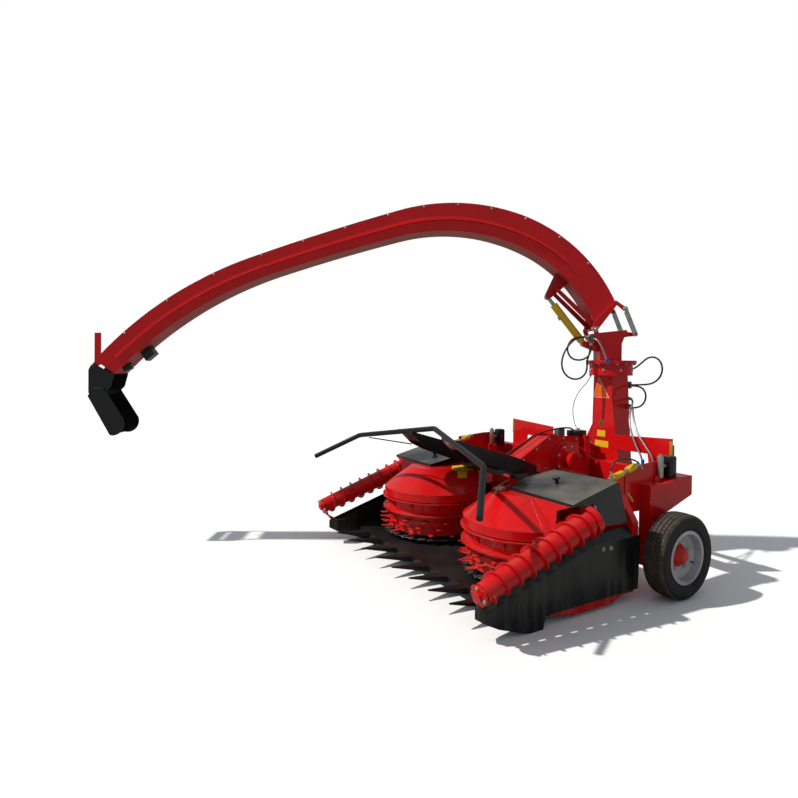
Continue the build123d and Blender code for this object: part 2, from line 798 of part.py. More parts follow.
with BuildPart() as crop_bar:
    with BuildLine():
        route = FilletPolyline(*bar_route, radius=90)
    with BuildSketch(Plane(origin=route @ 0, z_dir=route % 0)):
        Circle(bar_radius)
    sweep()
    for side in (-1, 1):
        with BuildSketch(yz_plane(side * arm_x - arm_width / 2)):
            with BuildLine():
                Polyline(*arm_outline, close=True)
            make_face()
        extrude(amount=arm_width)
        with BuildSketch(yz_plane(side * arm_x - arm_width / 2 + sheet)):
            with BuildLine():
                Polyline(
                    (-2050, 920),
                    (-2050, 1014),
                    (-1603, 898),
                    (-1391 - sheet, 819),
                    (-1391 - sheet, throat_top_h - 20),
                    (-1620, throat_top_h - 20),
                    close=True,
                )
            make_face()
        extrude(amount=arm_width - 2 * sheet, mode=Mode.SUBTRACT)

# Throat cover between the hoods: a channel open below
throat_half = 400.0
with BuildPart() as throat_cover:
    with Locations((0, (throat_front_y + throat_rear_y) / 2, z(hood_top_h))):
        Box(
            2 * throat_half,
            throat_rear_y - throat_front_y,
            throat_top_h - hood_top_h,
            align=(Align.CENTER, Align.CENTER, Align.MIN),
        )
        Box(
            2 * (throat_half - sheet),
            throat_rear_y - throat_front_y - 2 * sheet,
            throat_top_h - hood_top_h - sheet,
            align=(Align.CENTER, Align.CENTER, Align.MIN),
            mode=Mode.SUBTRACT,
        )

# Feed housing: roller case behind the mouth, open front and rear, with a taller case on its left
feed_half = 200.0
feed_front_y = -1320.0
feed_rear_y = beam_front_y - 20
feed_floor_h = 200.0
feed_top_h = 780.0
channel_top_h = 590.0
feed_profile = [
    (feed_front_y, feed_floor_h),
    (feed_front_y, feed_top_h),
    (feed_rear_y, feed_top_h),
    (feed_rear_y, channel_top_h),
    (chopper_front_y, channel_top_h),
    (chopper_front_y, feed_floor_h),
]
gear_inner_x = 30.0
gear_profile = [
    (-1313.0, feed_top_h - 50),
    (-1391.0, 832.0),
    (-1054.0, 1013.0),
    (-715.0, 984.0),
    (-715.0, feed_top_h - 50),
]
gear_hollow = [
    (-1310.0, feed_top_h - 20),
    (-1348.0, 827.0),
    (-1051.0, 986.0),
    (-735.0, 959.0),
    (-735.0, feed_top_h - 20),
]
gear_lowered = [
    (-1313.0, feed_top_h - 50),
    (-1375.0, 822.0),
    (-1052.0, 994.0),
    (-729.0, 967.0),
    (-729.0, feed_top_h - 50),
]
boss_y, boss_side_h = -877.0, 802.0
boss_steps = [(160.0, 0.0, 14.0), (132.0, 14.0, 16.0), (62.0, 30.0, 90.0), (78.0, 104.0, 16.0)]
with BuildPart() as feed_housing:
    with BuildSketch(yz_plane(-feed_half)):
        with BuildLine():
            Polyline(*feed_profile, close=True)
        make_face()
    extrude(amount=2 * feed_half)
    with BuildSketch(yz_plane(gear_inner_x)):
        with BuildLine():
            Polyline(*gear_lowered, close=True)
        make_face()
    extrude(amount=feed_half - gear_inner_x)
    for begin in (gear_inner_x, feed_half - sheet):
        with BuildSketch(yz_plane(begin)):
            with BuildLine():
                Polyline(*gear_profile, close=True)
            make_face()
        extrude(amount=sheet)
    with BuildSketch(yz_plane(gear_inner_x + sheet)):
        with BuildLine():
            Polyline(*gear_hollow, close=True)
        make_face()
    extrude(amount=feed_half - gear_inner_x - 2 * sheet, mode=Mode.SUBTRACT)
    with BuildSketch(yz_plane(-feed_half + sheet)):
        with BuildLine():
            Polyline(
                (feed_front_y - 1, feed_floor_h + sheet),
                (feed_front_y - 1, 600),
                (feed_front_y + sheet, 620),
                (feed_front_y + sheet, feed_top_h - sheet),
                (feed_rear_y - sheet, feed_top_h - sheet),
                (feed_rear_y - sheet, channel_top_h - sheet),
                (chopper_front_y + 1, channel_top_h - sheet),
                (chopper_front_y + 1, feed_floor_h + sheet),
                close=True,
            )
        make_face()
    extrude(amount=2 * (feed_half - sheet), mode=Mode.SUBTRACT)
    with Locations((feed_half - 75, feed_rear_y - 30, z(feed_top_h - 4))):
        Box(150, 50, 209, align=(Align.CENTER, Align.CENTER, Align.MIN))
    for radius, begin, length in boss_steps:
        with Locations((feed_half + begin + length / 2, boss_y, z(boss_side_h))):
            Cylinder(radius, length, rotation=(0, 90, 0))

# Feed rollers across the mouth
roller_radius = 78.0
roller_y = -1215.0
roller_heights = {"upper": 478.0, "lower": 298.0}
roller_half = feed_half - sheet - 6


def roller_part(height):
    """A barred feed roller across the mouth at the given height."""
    with BuildPart() as shape:
        with BuildSketch(yz_plane(-roller_half)):
            with Locations((roller_y, height)):
                Circle(roller_radius)
                with PolarLocations(roller_radius, 8):
                    Rectangle(16, 12)
        extrude(amount=2 * roller_half)
        with Locations((0, roller_y, z(height))):
            Cylinder(20, 2 * (feed_half - sheet - seat_gap), rotation=(0, 90, 0))
    return shape.part


with BuildPart() as upper_roller:
    add(roller_part(roller_heights["upper"]))
with BuildPart() as lower_roller:
    add(roller_part(roller_heights["lower"]))

# Chopper housing: flat round case about the drive shaft, open to feed and tower
with BuildPart() as chopper_housing:
    with BuildSketch(Plane.XZ.offset(-chopper_front_y)):
        Circle(chopper_radius)
    extrude(amount=-(chopper_rear_y - chopper_front_y))
    with BuildSketch(Plane.XZ.offset(-chopper_front_y - chopper_wall)):
        Circle(chopper_radius - chopper_wall)
    extrude(amount=-(chopper_rear_y - chopper_front_y - 2 * chopper_wall), mode=Mode.SUBTRACT)
    with Locations((0, chopper_front_y, z((feed_floor_h + channel_top_h) / 2 + 40))):
        Box(2 * feed_half - 60, 60, 260, mode=Mode.SUBTRACT)
    with Locations((tower_x, (chopper_front_y + chopper_rear_y) / 2, z(tower_base_h + 200))):
        Box(
            tower_base_width - 2 * tower_wall,
            chopper_rear_y - chopper_front_y - 2 * chopper_wall,
            400,
            mode=Mode.SUBTRACT,
        )
    with Locations((0, chopper_rear_y, 0)):
        Cylinder(40, 60, rotation=(90, 0, 0), mode=Mode.SUBTRACT)

# Hoses: straight runs joined by tangent arcs, each meeting its ports face to face
hose_diameter = 15.0
port_radius = 11.0
port_length = 14.0
motor_hose_points = [
    (220, -150, 1550),
    (220, -60, 1550),
    (250, 2, 1596),
    (308, 14, 1654),
    (385, 8, 1668),
    (453, 2, 1630),
    (484, -8, 1556),
    (464, -20, 1479),
    (402, -32, 1430),
    (335, -52, 1418),
    (285, -110, 1416),
    (285, -176, 1416),
]
return_hose_points = [
    (324, -211, 1412),
    (410, -211, 1412),
    (476, -222, 1362),
    (486, -240, 1282),
    (432, -262, 1222),
    (336, -262, 1222),
]


def hose_part(name, points):
    """Plain round hose along the points, each bend as large as its two runs allow."""
    radii = []
    for before, point, after in zip(points[:-2], points[1:-1], points[2:]):
        run_in = Vector(*point) - Vector(*before)
        run_out = Vector(*after) - Vector(*point)
        half_turn = radians(run_in.get_angle(run_out)) / 2
        radii.append(0.45 * min(run_in.length, run_out.length) / tan(half_turn))
    with BuildPart() as shape:
        with BuildLine() as route:
            FilletPolyline(*points, radius=radii)
        with BuildSketch(Plane(origin=points[0], z_dir=Vector(*points[1]) - Vector(*points[0]))):
            Circle(hose_diameter / 2)
        sweep()
    length = sum(edge.length for edge in route.edges())
    print(name, "length", round(length), "radii", [round(radius) for radius in radii],
          "volume share", round(shape.part.volume / (pi * hose_diameter ** 2 / 4 * length), 4))
    return shape.part


def floor_points(points):
    """Points given by their height above the ground, in the part's own frame."""
    return [(x, y, z(height)) for x, y, height in points]


with BuildPart() as motor_hose:
    add(hose_part("motor_hose", floor_points(motor_hose_points)))
with BuildPart() as return_hose:
    add(hose_part("return_hose", floor_points(return_hose_points)))

# Discharge tower: tapering duct with a round collar on top and two hose ports
tower_base_y = (chopper_front_y + chopper_rear_y) / 2
tower_base_depth = chopper_rear_y - chopper_front_y


def tower_sketches(inset):
    """Base and top sections of the tower's duct, inset by a wall."""
    with BuildSketch(Plane.XY.offset(z(tower_base_h))) as base:
        with Locations((tower_x, tower_base_y)):
            Rectangle(tower_base_width - 2 * inset, tower_base_depth - 2 * inset)
    with BuildSketch(Plane.XY.offset(z(collar_bottom_h))) as top:
        with Locations((tower_x, tower_y)):
            Rectangle(tower_top_width - 2 * inset, tower_top_depth - 2 * inset)
    return [base.sketch, top.sketch]


with BuildPart() as discharge_tower:
    loft(sections=tower_sketches(0))
    loft(sections=tower_sketches(tower_wall), mode=Mode.SUBTRACT)
    with BuildSketch(Plane.XZ.offset(-chopper_front_y + 1)):
        Circle(chopper_radius)
    extrude(amount=-(chopper_rear_y - chopper_front_y) - 2, mode=Mode.SUBTRACT)
    with BuildSketch(Plane.XY.offset(z(collar_bottom_h))):
        with Locations((tower_x, tower_y)):
            Circle(collar_radius)
            Rectangle(neck_width - 2 * tower_wall, neck_width - 2 * tower_wall, mode=Mode.SUBTRACT)
    extrude(amount=collar_top_h - collar_bottom_h)
    port_x, port_y, port_h = motor_hose_points[0]
    with Locations((port_x, port_y, z(port_h))):
        Cylinder(port_radius, 35, rotation=(90, 0, 0), align=(Align.CENTER, Align.CENTER, Align.MIN))
    port_x, port_y, port_h = return_hose_points[-1]
    with Locations((port_x, port_y, z(port_h))):
        Cylinder(port_radius, 20, rotation=(0, 90, 0), align=(Align.CENTER, Align.CENTER, Align.MAX))

# Headstock for the three-point linkage
head_depth = 60.0
head_half = 412.0
lower_pin_h = 450.0
lower_pin_radius = 14.0
lower_pin_length = 100.0
top_pin_h = 1060.0
top_hole_radius = 12.85
top_lug_gap = 52.0
top_lug_thickness = 14.0
pin_y = -130.0
with BuildPart() as headstock:
    with BuildSketch(xz_plane(chopper_rear_y)):
        with BuildLine():
            Polyline(
                (-head_half, lower_pin_h - 45),
                (head_half, lower_pin_h - 45),
                (head_half, lower_pin_h + 45),
                (80, top_pin_h + 40),
                (-80, top_pin_h + 40),
                (-head_half, lower_pin_h + 45),
                close=True,
            )
        make_face()
        with BuildLine():
            Polyline(
                (-head_half + 120, lower_pin_h + 30),
                (head_half - 120, lower_pin_h + 30),
                (50, top_pin_h - 90),
                (-50, top_pin_h - 90),
                close=True,
            )
        make_face(mode=Mode.SUBTRACT)
    extrude(amount=head_depth)
    for side in (-1, 1):
        with Locations((side * (head_half + lower_pin_length / 2), chopper_rear_y + head_depth / 2, z(lower_pin_h))):
            Cylinder(lower_pin_radius, lower_pin_length, rotation=(0, 90, 0))
        lug_x = side * (top_lug_gap + top_lug_thickness) / 2
        with BuildSketch(yz_plane(lug_x - top_lug_thickness / 2)):
            with Locations((chopper_rear_y + head_depth + 35, top_pin_h)):
                Rectangle(70, 70)
                Circle(top_hole_radius, mode=Mode.SUBTRACT)
        extrude(amount=top_lug_thickness)

# Input gearbox behind the chopper, and the flywheel on its drive shaft
gearbox_rear_y = -95.0
with BuildPart() as gearbox:
    with Locations((0, (chopper_rear_y + gearbox_rear_y) / 2, 0)):
        Box(190, gearbox_rear_y - chopper_rear_y, 210)
        Cylinder(35 + seat_gap, 200, rotation=(90, 0, 0), mode=Mode.SUBTRACT)
shaft_radius = 17.5
rotor_y = (chopper_front_y + chopper_rear_y) / 2
with BuildPart() as rotor:
    with Locations((0, -45, 0)):
        Cylinder(shaft_radius, 90, rotation=(90, 0, 0))
    with Locations((0, (chopper_front_y + 60 - 90) / 2, 0)):
        Cylinder(35, -(chopper_front_y + 60) - 90, rotation=(90, 0, 0))
    with Locations((0, rotor_y, 0)):
        Cylinder(rotor_radius, 30, rotation=(90, 0, 0))
        Cylinder(90, 120, rotation=(90, 0, 0))

# Rear wings with the lamps
wing_outer_x = 890.0
wing_outline = [(335, 886), (676, 886), (690, 790), (690, 520), (890, 520), (890, 1030), (335, 1000)]
with BuildPart() as rear_wings:
    with BuildSketch(xz_plane(beam_rear_y)):
        for side in (-1, 1):
            with BuildLine():
                Polyline(*[(side * x, height) for x, height in wing_outline], close=True)
            make_face()
    extrude(amount=sheet)
lamp_h = 930.0
with BuildPart() as tail_lamps:
    for side in (-1, 1):
        with Locations((side * (wing_outer_x - 80), beam_rear_y + sheet + 25, z(lamp_h))):
            Box(120, 50, 90)

# Slew motor beside the collar
with BuildPart() as slew_motor:
    with Locations((tower_x, tower_y + tower_top_depth / 2 + 48, z(collar_bottom_h))):
        Cylinder(34, 150, align=(Align.CENTER, Align.CENTER, Align.MAX))
    port_x, port_y, port_h = motor_hose_points[-1]
    with Locations((port_x, port_y - port_length, z(port_h))):
        Box(50, 42, 60, align=(Align.CENTER, Align.MAX, Align.CENTER))
    with Locations((port_x, port_y, z(port_h))):
        Cylinder(port_radius, port_length + 2, rotation=(90, 0, 0), align=(Align.CENTER, Align.CENTER, Align.MIN))
    port_x, port_y, port_h = return_hose_points[0]
    with Locations((port_x, port_y, z(port_h))):
        Cylinder(port_radius, port_length + 2, rotation=(0, 90, 0), align=(Align.CENTER, Align.CENTER, Align.MAX))
    with Locations((motor_hose_points[-1][0] - 10, port_y, z(port_h + 4))):
        Box(60, 42, 44)

# Turret: ring, neck and funnel that turn on the collar
lug_thickness = 12.0
flange_overhang = 20.0
lug_offset = spout_width / 2 + flange_overhang + seat_gap + lug_thickness
foot_lug = 10.0
foot_lug_offset = 26.0
boss_lug_offset = 96.0
stay_offset = 140.0
stay_thickness = 8.0
boss_half = stay_offset + stay_thickness + 4
turret_bottom_h = collar_top_h + seat_gap
neck_mid_s = (neck_front_s + neck_rear_s) / 2
neck_depth = neck_front_s - neck_rear_s
neck_wall = 6.0
turret_base = Plane(origin=(tower_x, tower_y, z(turret_bottom_h)), x_dir=spout_forward, z_dir=(0, 0, 1))
waist_plane = turret_base.offset(waist_h - turret_bottom_h)
funnel_front = spout_plane.from_local_coords((funnel_front_s, funnel_front_h, 0))
funnel_rear = spout_plane.from_local_coords((funnel_rear_s, funnel_rear_h, 0))
funnel_slope = funnel_front - funnel_rear
funnel_plane = Plane(
    origin=(funnel_front + funnel_rear) / 2,
    x_dir=funnel_slope,
    z_dir=funnel_slope.cross(Vector(*spout_right)) * -1,
)


def funnel_sketches(inset):
    """Sections of the funnel at its waist and on its sloping top, inset by a wall."""
    with BuildSketch(waist_plane) as waist:
        with Locations((neck_mid_s, 0)):
            Rectangle(neck_depth - 2 * inset, neck_width - 2 * inset)
    with BuildSketch(funnel_plane) as top:
        Rectangle(funnel_slope.length - 2 * inset, funnel_width - 2 * inset)
    return [waist.sketch, top.sketch]


with BuildPart() as turret:
    with BuildSketch(turret_base):
        Circle(ring_radius)
    extrude(amount=ring_thickness)
    with BuildSketch(turret_base):
        with Locations((neck_mid_s, 0)):
            Rectangle(neck_depth, neck_width)
    extrude(amount=waist_h - turret_bottom_h)
    loft(sections=funnel_sketches(0))
    with BuildSketch(turret_base):
        with Locations((neck_mid_s, 0)):
            Rectangle(neck_depth - 2 * neck_wall, neck_width - 2 * neck_wall)
    extrude(amount=waist_h - turret_bottom_h, mode=Mode.SUBTRACT)
    loft(sections=funnel_sketches(neck_wall), mode=Mode.SUBTRACT)
    with BuildSketch(spout_offset(-lug_offset)):
        with BuildLine():
            Polyline(
                (neck_front_s - 3, waist_h - 18),
                (neck_front_s + 53, waist_h + 42),
                (neck_front_s + 53, waist_h + 70),
                (neck_front_s + 26, waist_h + 74),
                (neck_front_s - 3, waist_h + 2),
                close=True,
            )
        make_face()
    extrude(amount=2 * lug_offset)
    for across in (-lug_offset, lug_offset - lug_thickness):
        with BuildSketch(spout_offset(across)):
            with BuildLine():
                Polyline(
                    (neck_front_s + 10, waist_h + 20),
                    (neck_front_s + 53, waist_h + 42),
                    (hinge_s + 20, hinge_h - 12),
                    (hinge_s + 14, hinge_h + 16),
                    (hinge_s - 14, hinge_h + 16),
                    (neck_front_s + 26, waist_h + 74),
                    close=True,
                )
            make_face()
        extrude(amount=lug_thickness)
    with BuildSketch(spout_offset(-lug_offset)):
        with Locations((hinge_s, hinge_h)):
            Circle(pin_radius)
    extrude(amount=2 * lug_offset)
    for across in (-foot_lug_offset - foot_lug, foot_lug_offset):
        with BuildSketch(spout_offset(across)):
            with BuildLine():
                Polyline(
                    (neck_front_s, foot_h - 70),
                    (foot_s + 4, foot_h - 24),
                    (foot_s + 24, foot_h),
                    (foot_s, foot_h + 24),
                    (neck_front_s, foot_h - 6),
                    close=True,
                )
            make_face()
        extrude(amount=foot_lug)
    with BuildSketch(spout_offset(-foot_lug_offset - foot_lug)):
        with Locations((foot_s, foot_h)):
            Circle(pin_radius)
    extrude(amount=2 * (foot_lug_offset + foot_lug))
    for across in (-boss_lug_offset - lug_thickness, boss_lug_offset):
        with BuildSketch(spout_offset(across)):
            with BuildLine():
                Polyline(
                    (funnel_rear_s + 14, funnel_rear_h - 60),
                    (boss_s - 14, boss_h - 14),
                    (boss_s - 14, boss_h + 12),
                    (boss_s + 10, boss_h + 14),
                    (funnel_rear_s + 8, funnel_rear_h - 14),
                    close=True,
                )
            make_face()
        extrude(amount=lug_thickness)
    for across in (-boss_half, boss_lug_offset):
        with BuildSketch(spout_offset(across)):
            with Locations((boss_s, boss_h)):
                Circle(boss_radius)
        extrude(amount=boss_half - boss_lug_offset)

# Hose block on the turret's cross bar, with the two lift hoses that loop from it and back
block_rear_s = neck_front_s + 53
block_front_s = block_rear_s + 40
block_low_h, block_high_h = waist_h + 24, waist_h + 72
block_inner, block_outer = -45.0, -133.0
port_front_s = block_front_s + port_length
port_down_s, port_down_h = block_rear_s + 20, block_low_h - 11
port_front_h = waist_h + 56
upper_hose_steps = [
    (port_front_s, port_front_h, -93),
    (330, 1829, -93),
    (392, 1783, -93),
    (408, 1706, -92),
    (368, 1638, -91),
    (290, 1625, -90),
    (225, 1655, -89),
    (port_down_s, 1718, -88),
    (port_down_s, port_down_h, -88),
]
lower_hose_steps = [
    (port_front_s, port_front_h, -120),
    (318, 1829, -120),
    (392, 1768, -120),
    (440, 1690, -118),
    (460, 1603, -113),
    (438, 1518, -104),
    (367, 1462, -95),
    (283, 1469, -85),
    (228, 1530, -75),
    (228, 1630, -66),
    (port_down_s, 1700, -57),
    (port_down_s, port_down_h, -57),
]


def spout_points(steps):
    """Points given by station, height and across, in the part's own frame."""
    return [tuple(spout_plane.from_local_coords(step)) for step in steps]


with BuildPart() as upper_hose:
    add(hose_part("upper_hose", spout_points(upper_hose_steps)))
with BuildPart() as lower_hose:
    add(hose_part("lower_hose", spout_points(lower_hose_steps)))
with BuildPart() as hose_block:
    with BuildSketch(spout_offset(block_outer)):
        with BuildLine():
            Polyline(
                (block_rear_s, block_low_h),
                (block_front_s, block_low_h),
                (block_front_s, block_high_h - 8),
                (block_front_s - 8, block_high_h),
                (block_rear_s, block_high_h),
                close=True,
            )
        make_face()
    extrude(amount=block_inner - block_outer)
    for steps in (upper_hose_steps, lower_hose_steps):
        front_port = Plane(
            origin=spout_plane.from_local_coords(steps[0]), x_dir=spout_right, z_dir=spout_forward
        )
        with BuildSketch(front_port):
            Circle(port_radius)
        extrude(amount=-port_length - 2)
        with BuildSketch(Plane(origin=spout_plane.from_local_coords(steps[-1]), z_dir=(0, 0, 1))):
            Circle(port_radius)
        extrude(amount=block_low_h - port_down_h + 2)

# Spout: duct between two chains of arcs, made of two sides, a back sheet and a belly sheet
top_start = (0.42, 0.91)
low_start = (0.36, 0.93)


def arc_chain(points, direction, shift=0.0):
    """Tangent arcs through the points, moved left by shift; returns both ends."""
    knots = [(Vector(*points[0]), Vector(*direction).normalized())]
    for begin, end in zip(points[:-1], points[1:]):
        arc = TangentArc(begin, end, tangent=knots[-1][1], mode=Mode.PRIVATE)
        knots.append((Vector(*end), arc % 1))
    moved = [knot + Vector(-tangent.Y, tangent.X) * shift for knot, tangent in knots]
    for begin, end, knot in zip(moved[:-1], moved[1:], knots[:-1]):
        TangentArc(begin, end, tangent=knot[1])
    return moved[0], moved[-1]


def draw_duct():
    """Side outline of the duct."""
    top_first, top_last = arc_chain(spout_top, top_start)
    low_first, low_last = arc_chain(spout_low, low_start)
    Line(top_last, low_last)
    Line(low_first, top_first)


def duct_sheet(points, direction, shift):
    """Sheet along one chain of arcs, as wide as the space between the sides."""
    with BuildPart() as shape:
        with BuildSketch(spout_offset(-spout_width / 2 + spout_wall)):
            with BuildLine():
                outer_first, outer_last = arc_chain(points, direction)
                inner_first, inner_last = arc_chain(points, direction, shift)
                Line(outer_first, inner_first)
                Line(outer_last, inner_last)
            make_face()
        extrude(amount=spout_width - 2 * spout_wall)
    return shape.part


ear_thickness = 12.0
ear_plate_offset = spout_width / 2 + flange_overhang - ear_thickness
lever_offset = 25.0
lever_thickness = 10.0
rod_pin_radius = 9.0
brace_offset = 84.0
brace_thickness = 10.0
cross_s, cross_h = root_s + 325.0, root_h + 310.0
cross_radius = 15.0
flap_gap = 5.0
flap_plate = 5.0
flap_pin_radius = 8.0
pin_fit = 0.06
flap_pin_half = spout_width / 2 + flap_gap + flap_plate + 3
with BuildPart() as spout:
    for across in (-spout_width / 2, spout_width / 2 - spout_wall):
        with BuildSketch(spout_offset(across)):
            with BuildLine():
                draw_duct()
            make_face()
        extrude(amount=spout_wall)
    for across in (-spout_width / 2 - flange_overhang, spout_width / 2 - spout_wall):
        with BuildSketch(spout_offset(across)):
            with BuildLine():
                Polyline(
                    (root_s + 30, root_h + 36),
                    (hinge_s + 20, hinge_h + 4),
                    (hinge_s + 4, hinge_h - 20),
                    (hinge_s - 18, hinge_h - 8),
                    (crown_s - 20, crown_h - 8),
                    (crown_s + 2, crown_h + 14),
                    close=True,
                )
            make_face()
            with Locations((hinge_s, hinge_h)):
                Circle(pin_radius + pin_fit, mode=Mode.SUBTRACT)
        extrude(amount=flange_overhang + spout_wall)
    for across in (-ear_plate_offset - ear_thickness, ear_plate_offset):
        with BuildSketch(spout_offset(across)):
            with BuildLine():
                Polyline(
                    (crown_s - 4, crown_h - 22),
                    (ear_s + 8, ear_h - 16),
                    (ear_s - 14, ear_h - 10),
                    (ear_s - 8, ear_h + 16),
                    (crown_s + 2, crown_h + 14),
                    close=True,
                )
            make_face()
        extrude(amount=ear_thickness)
    for across in (-boss_half, ear_plate_offset):
        with BuildSketch(spout_offset(across)):
            with Locations((ear_s, ear_h)):
                Circle(boss_radius)
        extrude(amount=boss_half - ear_plate_offset)
    for across in (-spout_width / 2, spout_width / 2 - spout_wall):
        with BuildSketch(spout_offset(across)):
            with BuildLine():
                Polyline(
                    (flap_s - 80, flap_h + 20),
                    (flap_s - 22, flap_h + 56),
                    (flap_s + 14, flap_h + 12),
                    (flap_s + 8, flap_h - 14),
                    (flap_s - 12, flap_h - 14),
                    close=True,
                )
            make_face()
        extrude(amount=spout_wall)
    for across in (-flap_pin_half, spout_width / 2 - spout_wall):
        with BuildSketch(spout_offset(across)):
            with Locations((flap_s, flap_h)):
                Circle(flap_pin_radius)
        extrude(amount=flap_pin_half - spout_width / 2 + spout_wall)
with BuildPart() as spout_back:
    add(duct_sheet(spout_top, top_start, -spout_wall))
    with BuildSketch(spout_offset(-3)):
        with BuildLine():
            Polyline(
                (mouth_top_s - 20, mouth_top_h + 12),
                (mouth_top_s - 12, mouth_top_h - 2),
                (mouth_top_s, mouth_top_h - 2),
                (mouth_top_s + 68, mouth_top_h - 14),
                (mouth_top_s + 68, mouth_top_h + 244),
                (mouth_top_s + 10, mouth_top_h + 244),
                (mouth_top_s + 10, mouth_top_h + 10),
                close=True,
            )
        make_face()
    extrude(amount=6)
with BuildPart() as spout_belly:
    add(duct_sheet(spout_low, low_start, spout_wall))
    for across in (-lever_offset - lever_thickness, lever_offset):
        with BuildSketch(spout_offset(across)):
            with BuildLine():
                Polyline(
                    (root_s + 225, root_h + 377),
                    (root_s + 321, root_h + 475),
                    (eye_s + 22, eye_h + 10),
                    (eye_s + 12, eye_h - 20),
                    (eye_s - 20, eye_h - 12),
                    close=True,
                )
            make_face()
        extrude(amount=lever_thickness)
    with BuildSketch(spout_offset(-lever_offset - lever_thickness)):
        with Locations((eye_s, eye_h)):
            Circle(rod_pin_radius)
    extrude(amount=2 * (lever_offset + lever_thickness))
    with BuildSketch(spout_offset(-brace_offset - brace_thickness)):
        with Locations((cross_s, cross_h)):
            Circle(cross_radius)
    extrude(amount=2 * (brace_offset + brace_thickness))
    for across in (-brace_offset - brace_thickness, brace_offset):
        with BuildSketch(spout_offset(across)):
            with BuildLine():
                Polyline(
                    (cross_s + 12, cross_h - 10),
                    (cross_s - 10, cross_h + 14),
                    (root_s + 6, root_h + 34),
                    (root_s - 4, root_h + 8),
                    (root_s + 30, root_h - 2),
                    close=True,
                )
            make_face()
        extrude(amount=brace_thickness)

# Stay bars: hooks from the turret's bosses over the spout's ear pins
stay_length = hypot(ear_s - boss_s, ear_h - boss_h)
stay_angle = degrees(atan2(ear_h - boss_h, ear_s - boss_s))
stay_width = 40.0
notch_width = 24.0
notch_angle = -56.0
with BuildPart() as stay_bars:
    for across in (-stay_offset - stay_thickness, stay_offset):
        with BuildSketch(spout_offset(across)):
            with Locations(Location((boss_s, boss_h, 0), (0, 0, stay_angle))):
                with Locations((stay_length / 2, 0)):
                    SlotCenterToCenter(stay_length, stay_width)
                Circle(boss_radius + pin_fit, mode=Mode.SUBTRACT)
                with Locations((stay_length, 0)):
                    Circle(notch_width / 2, mode=Mode.SUBTRACT)
                    with Locations(Location((0, 0, 0), (0, 0, 180 - notch_angle))):
                        Rectangle(40, notch_width, align=(Align.MIN, Align.CENTER), mode=Mode.SUBTRACT)
        extrude(amount=stay_thickness)

# Lift cylinder: barrel on the turret's foot pin, rod to the lever's pin
cylinder_angle = degrees(atan2(eye_h - foot_h, eye_s - foot_s))
cylinder_length = hypot(eye_s - foot_s, eye_h - foot_h)
barrel_radius = 32.0
barrel_start = 34.0
barrel_end = 430.0
rod_radius = 16.0
eye_radius = 25.0
eye_clearance = 7.5
lug_play = 1.0
cylinder_plane = Plane(
    origin=spout_plane.from_local_coords((foot_s, foot_h, 0)),
    x_dir=spout_plane.from_local_coords((eye_s, eye_h, 0)) - spout_plane.from_local_coords((foot_s, foot_h, 0)),
    z_dir=spout_right,
)
across_plane = Plane(origin=cylinder_plane.origin, x_dir=spout_right, z_dir=cylinder_plane.x_dir)
with BuildPart() as cylinder_barrel:
    with BuildSketch(cylinder_plane.offset(-foot_lug_offset + lug_play)):
        Circle(eye_radius)
        Rectangle(barrel_start + 6, 2 * eye_radius - 8, align=(Align.MIN, Align.CENTER))
        Circle(pin_radius + pin_fit, mode=Mode.SUBTRACT)
    extrude(amount=2 * (foot_lug_offset - lug_play))
    with BuildSketch(across_plane.offset(barrel_start)):
        Circle(barrel_radius)
    extrude(amount=barrel_end - barrel_start)
    with BuildSketch(across_plane.offset(barrel_start + 20)):
        Circle(rod_radius + pin_fit)
    extrude(amount=barrel_end, mode=Mode.SUBTRACT)
rod_start = 140.0
with BuildPart() as cylinder_rod:
    with BuildSketch(across_plane.offset(rod_start)):
        Circle(rod_radius)
    extrude(amount=cylinder_length - eye_radius + 4 - rod_start)
    with BuildSketch(cylinder_plane.offset(-lever_offset + lug_play)):
        with Locations((cylinder_length, 0)):
            Circle(eye_radius)
            Circle(rod_pin_radius + eye_clearance, mode=Mode.SUBTRACT)
    extrude(amount=2 * (lever_offset - lug_play))

# Deflector: two channels, the lower one folding outside the upper
flap_outer = spout_width / 2 + flap_gap + flap_plate
with BuildPart() as flap_upper:
    upper_outline = [
        (flap_s + 41, flap_h - 35),
        (flap_s + 18, flap_h + 6),
        (flap_s - 10, flap_h + 20),
        (flap_s - 115, flap_h - 40),
        (flap_s - 185, flap_h - 72),
        (flap_s - 153, flap_h - 190),
        (knuckle_s - 58, knuckle_h - 32),
        (knuckle_s, knuckle_h - 60),
        (knuckle_s + 47, knuckle_h - 39),
        (flap_s + 41, knuckle_h - 12),
    ]
    for across in (-flap_outer, flap_outer - flap_plate):
        with BuildSketch(spout_offset(across)):
            with BuildLine():
                Polyline(*upper_outline, close=True)
            make_face()
            with Locations((flap_s, flap_h)):
                Circle(flap_pin_radius + pin_fit, mode=Mode.SUBTRACT)
        extrude(amount=flap_plate)
    with BuildSketch(spout_offset(-flap_outer)):
        with Locations((flap_s + 41 - flap_plate / 2, (flap_h - 35 + knuckle_h - 12) / 2)):
            Rectangle(flap_plate, flap_h - 35 - knuckle_h + 12)
    extrude(amount=2 * flap_outer)
    for across in (-flap_outer - flap_gap - flap_plate - 2, flap_outer):
        with BuildSketch(spout_offset(across)):
            with Locations((knuckle_s, knuckle_h)):
                Circle(flap_pin_radius)
        extrude(amount=flap_gap + flap_plate + 2)
lower_outer = flap_outer + flap_gap + flap_plate
tip_low_s, tip_low_h = knuckle_s - 128.0, knuckle_h - 381.0
kink_s, kink_h = knuckle_s + 69.0, knuckle_h - 41.0
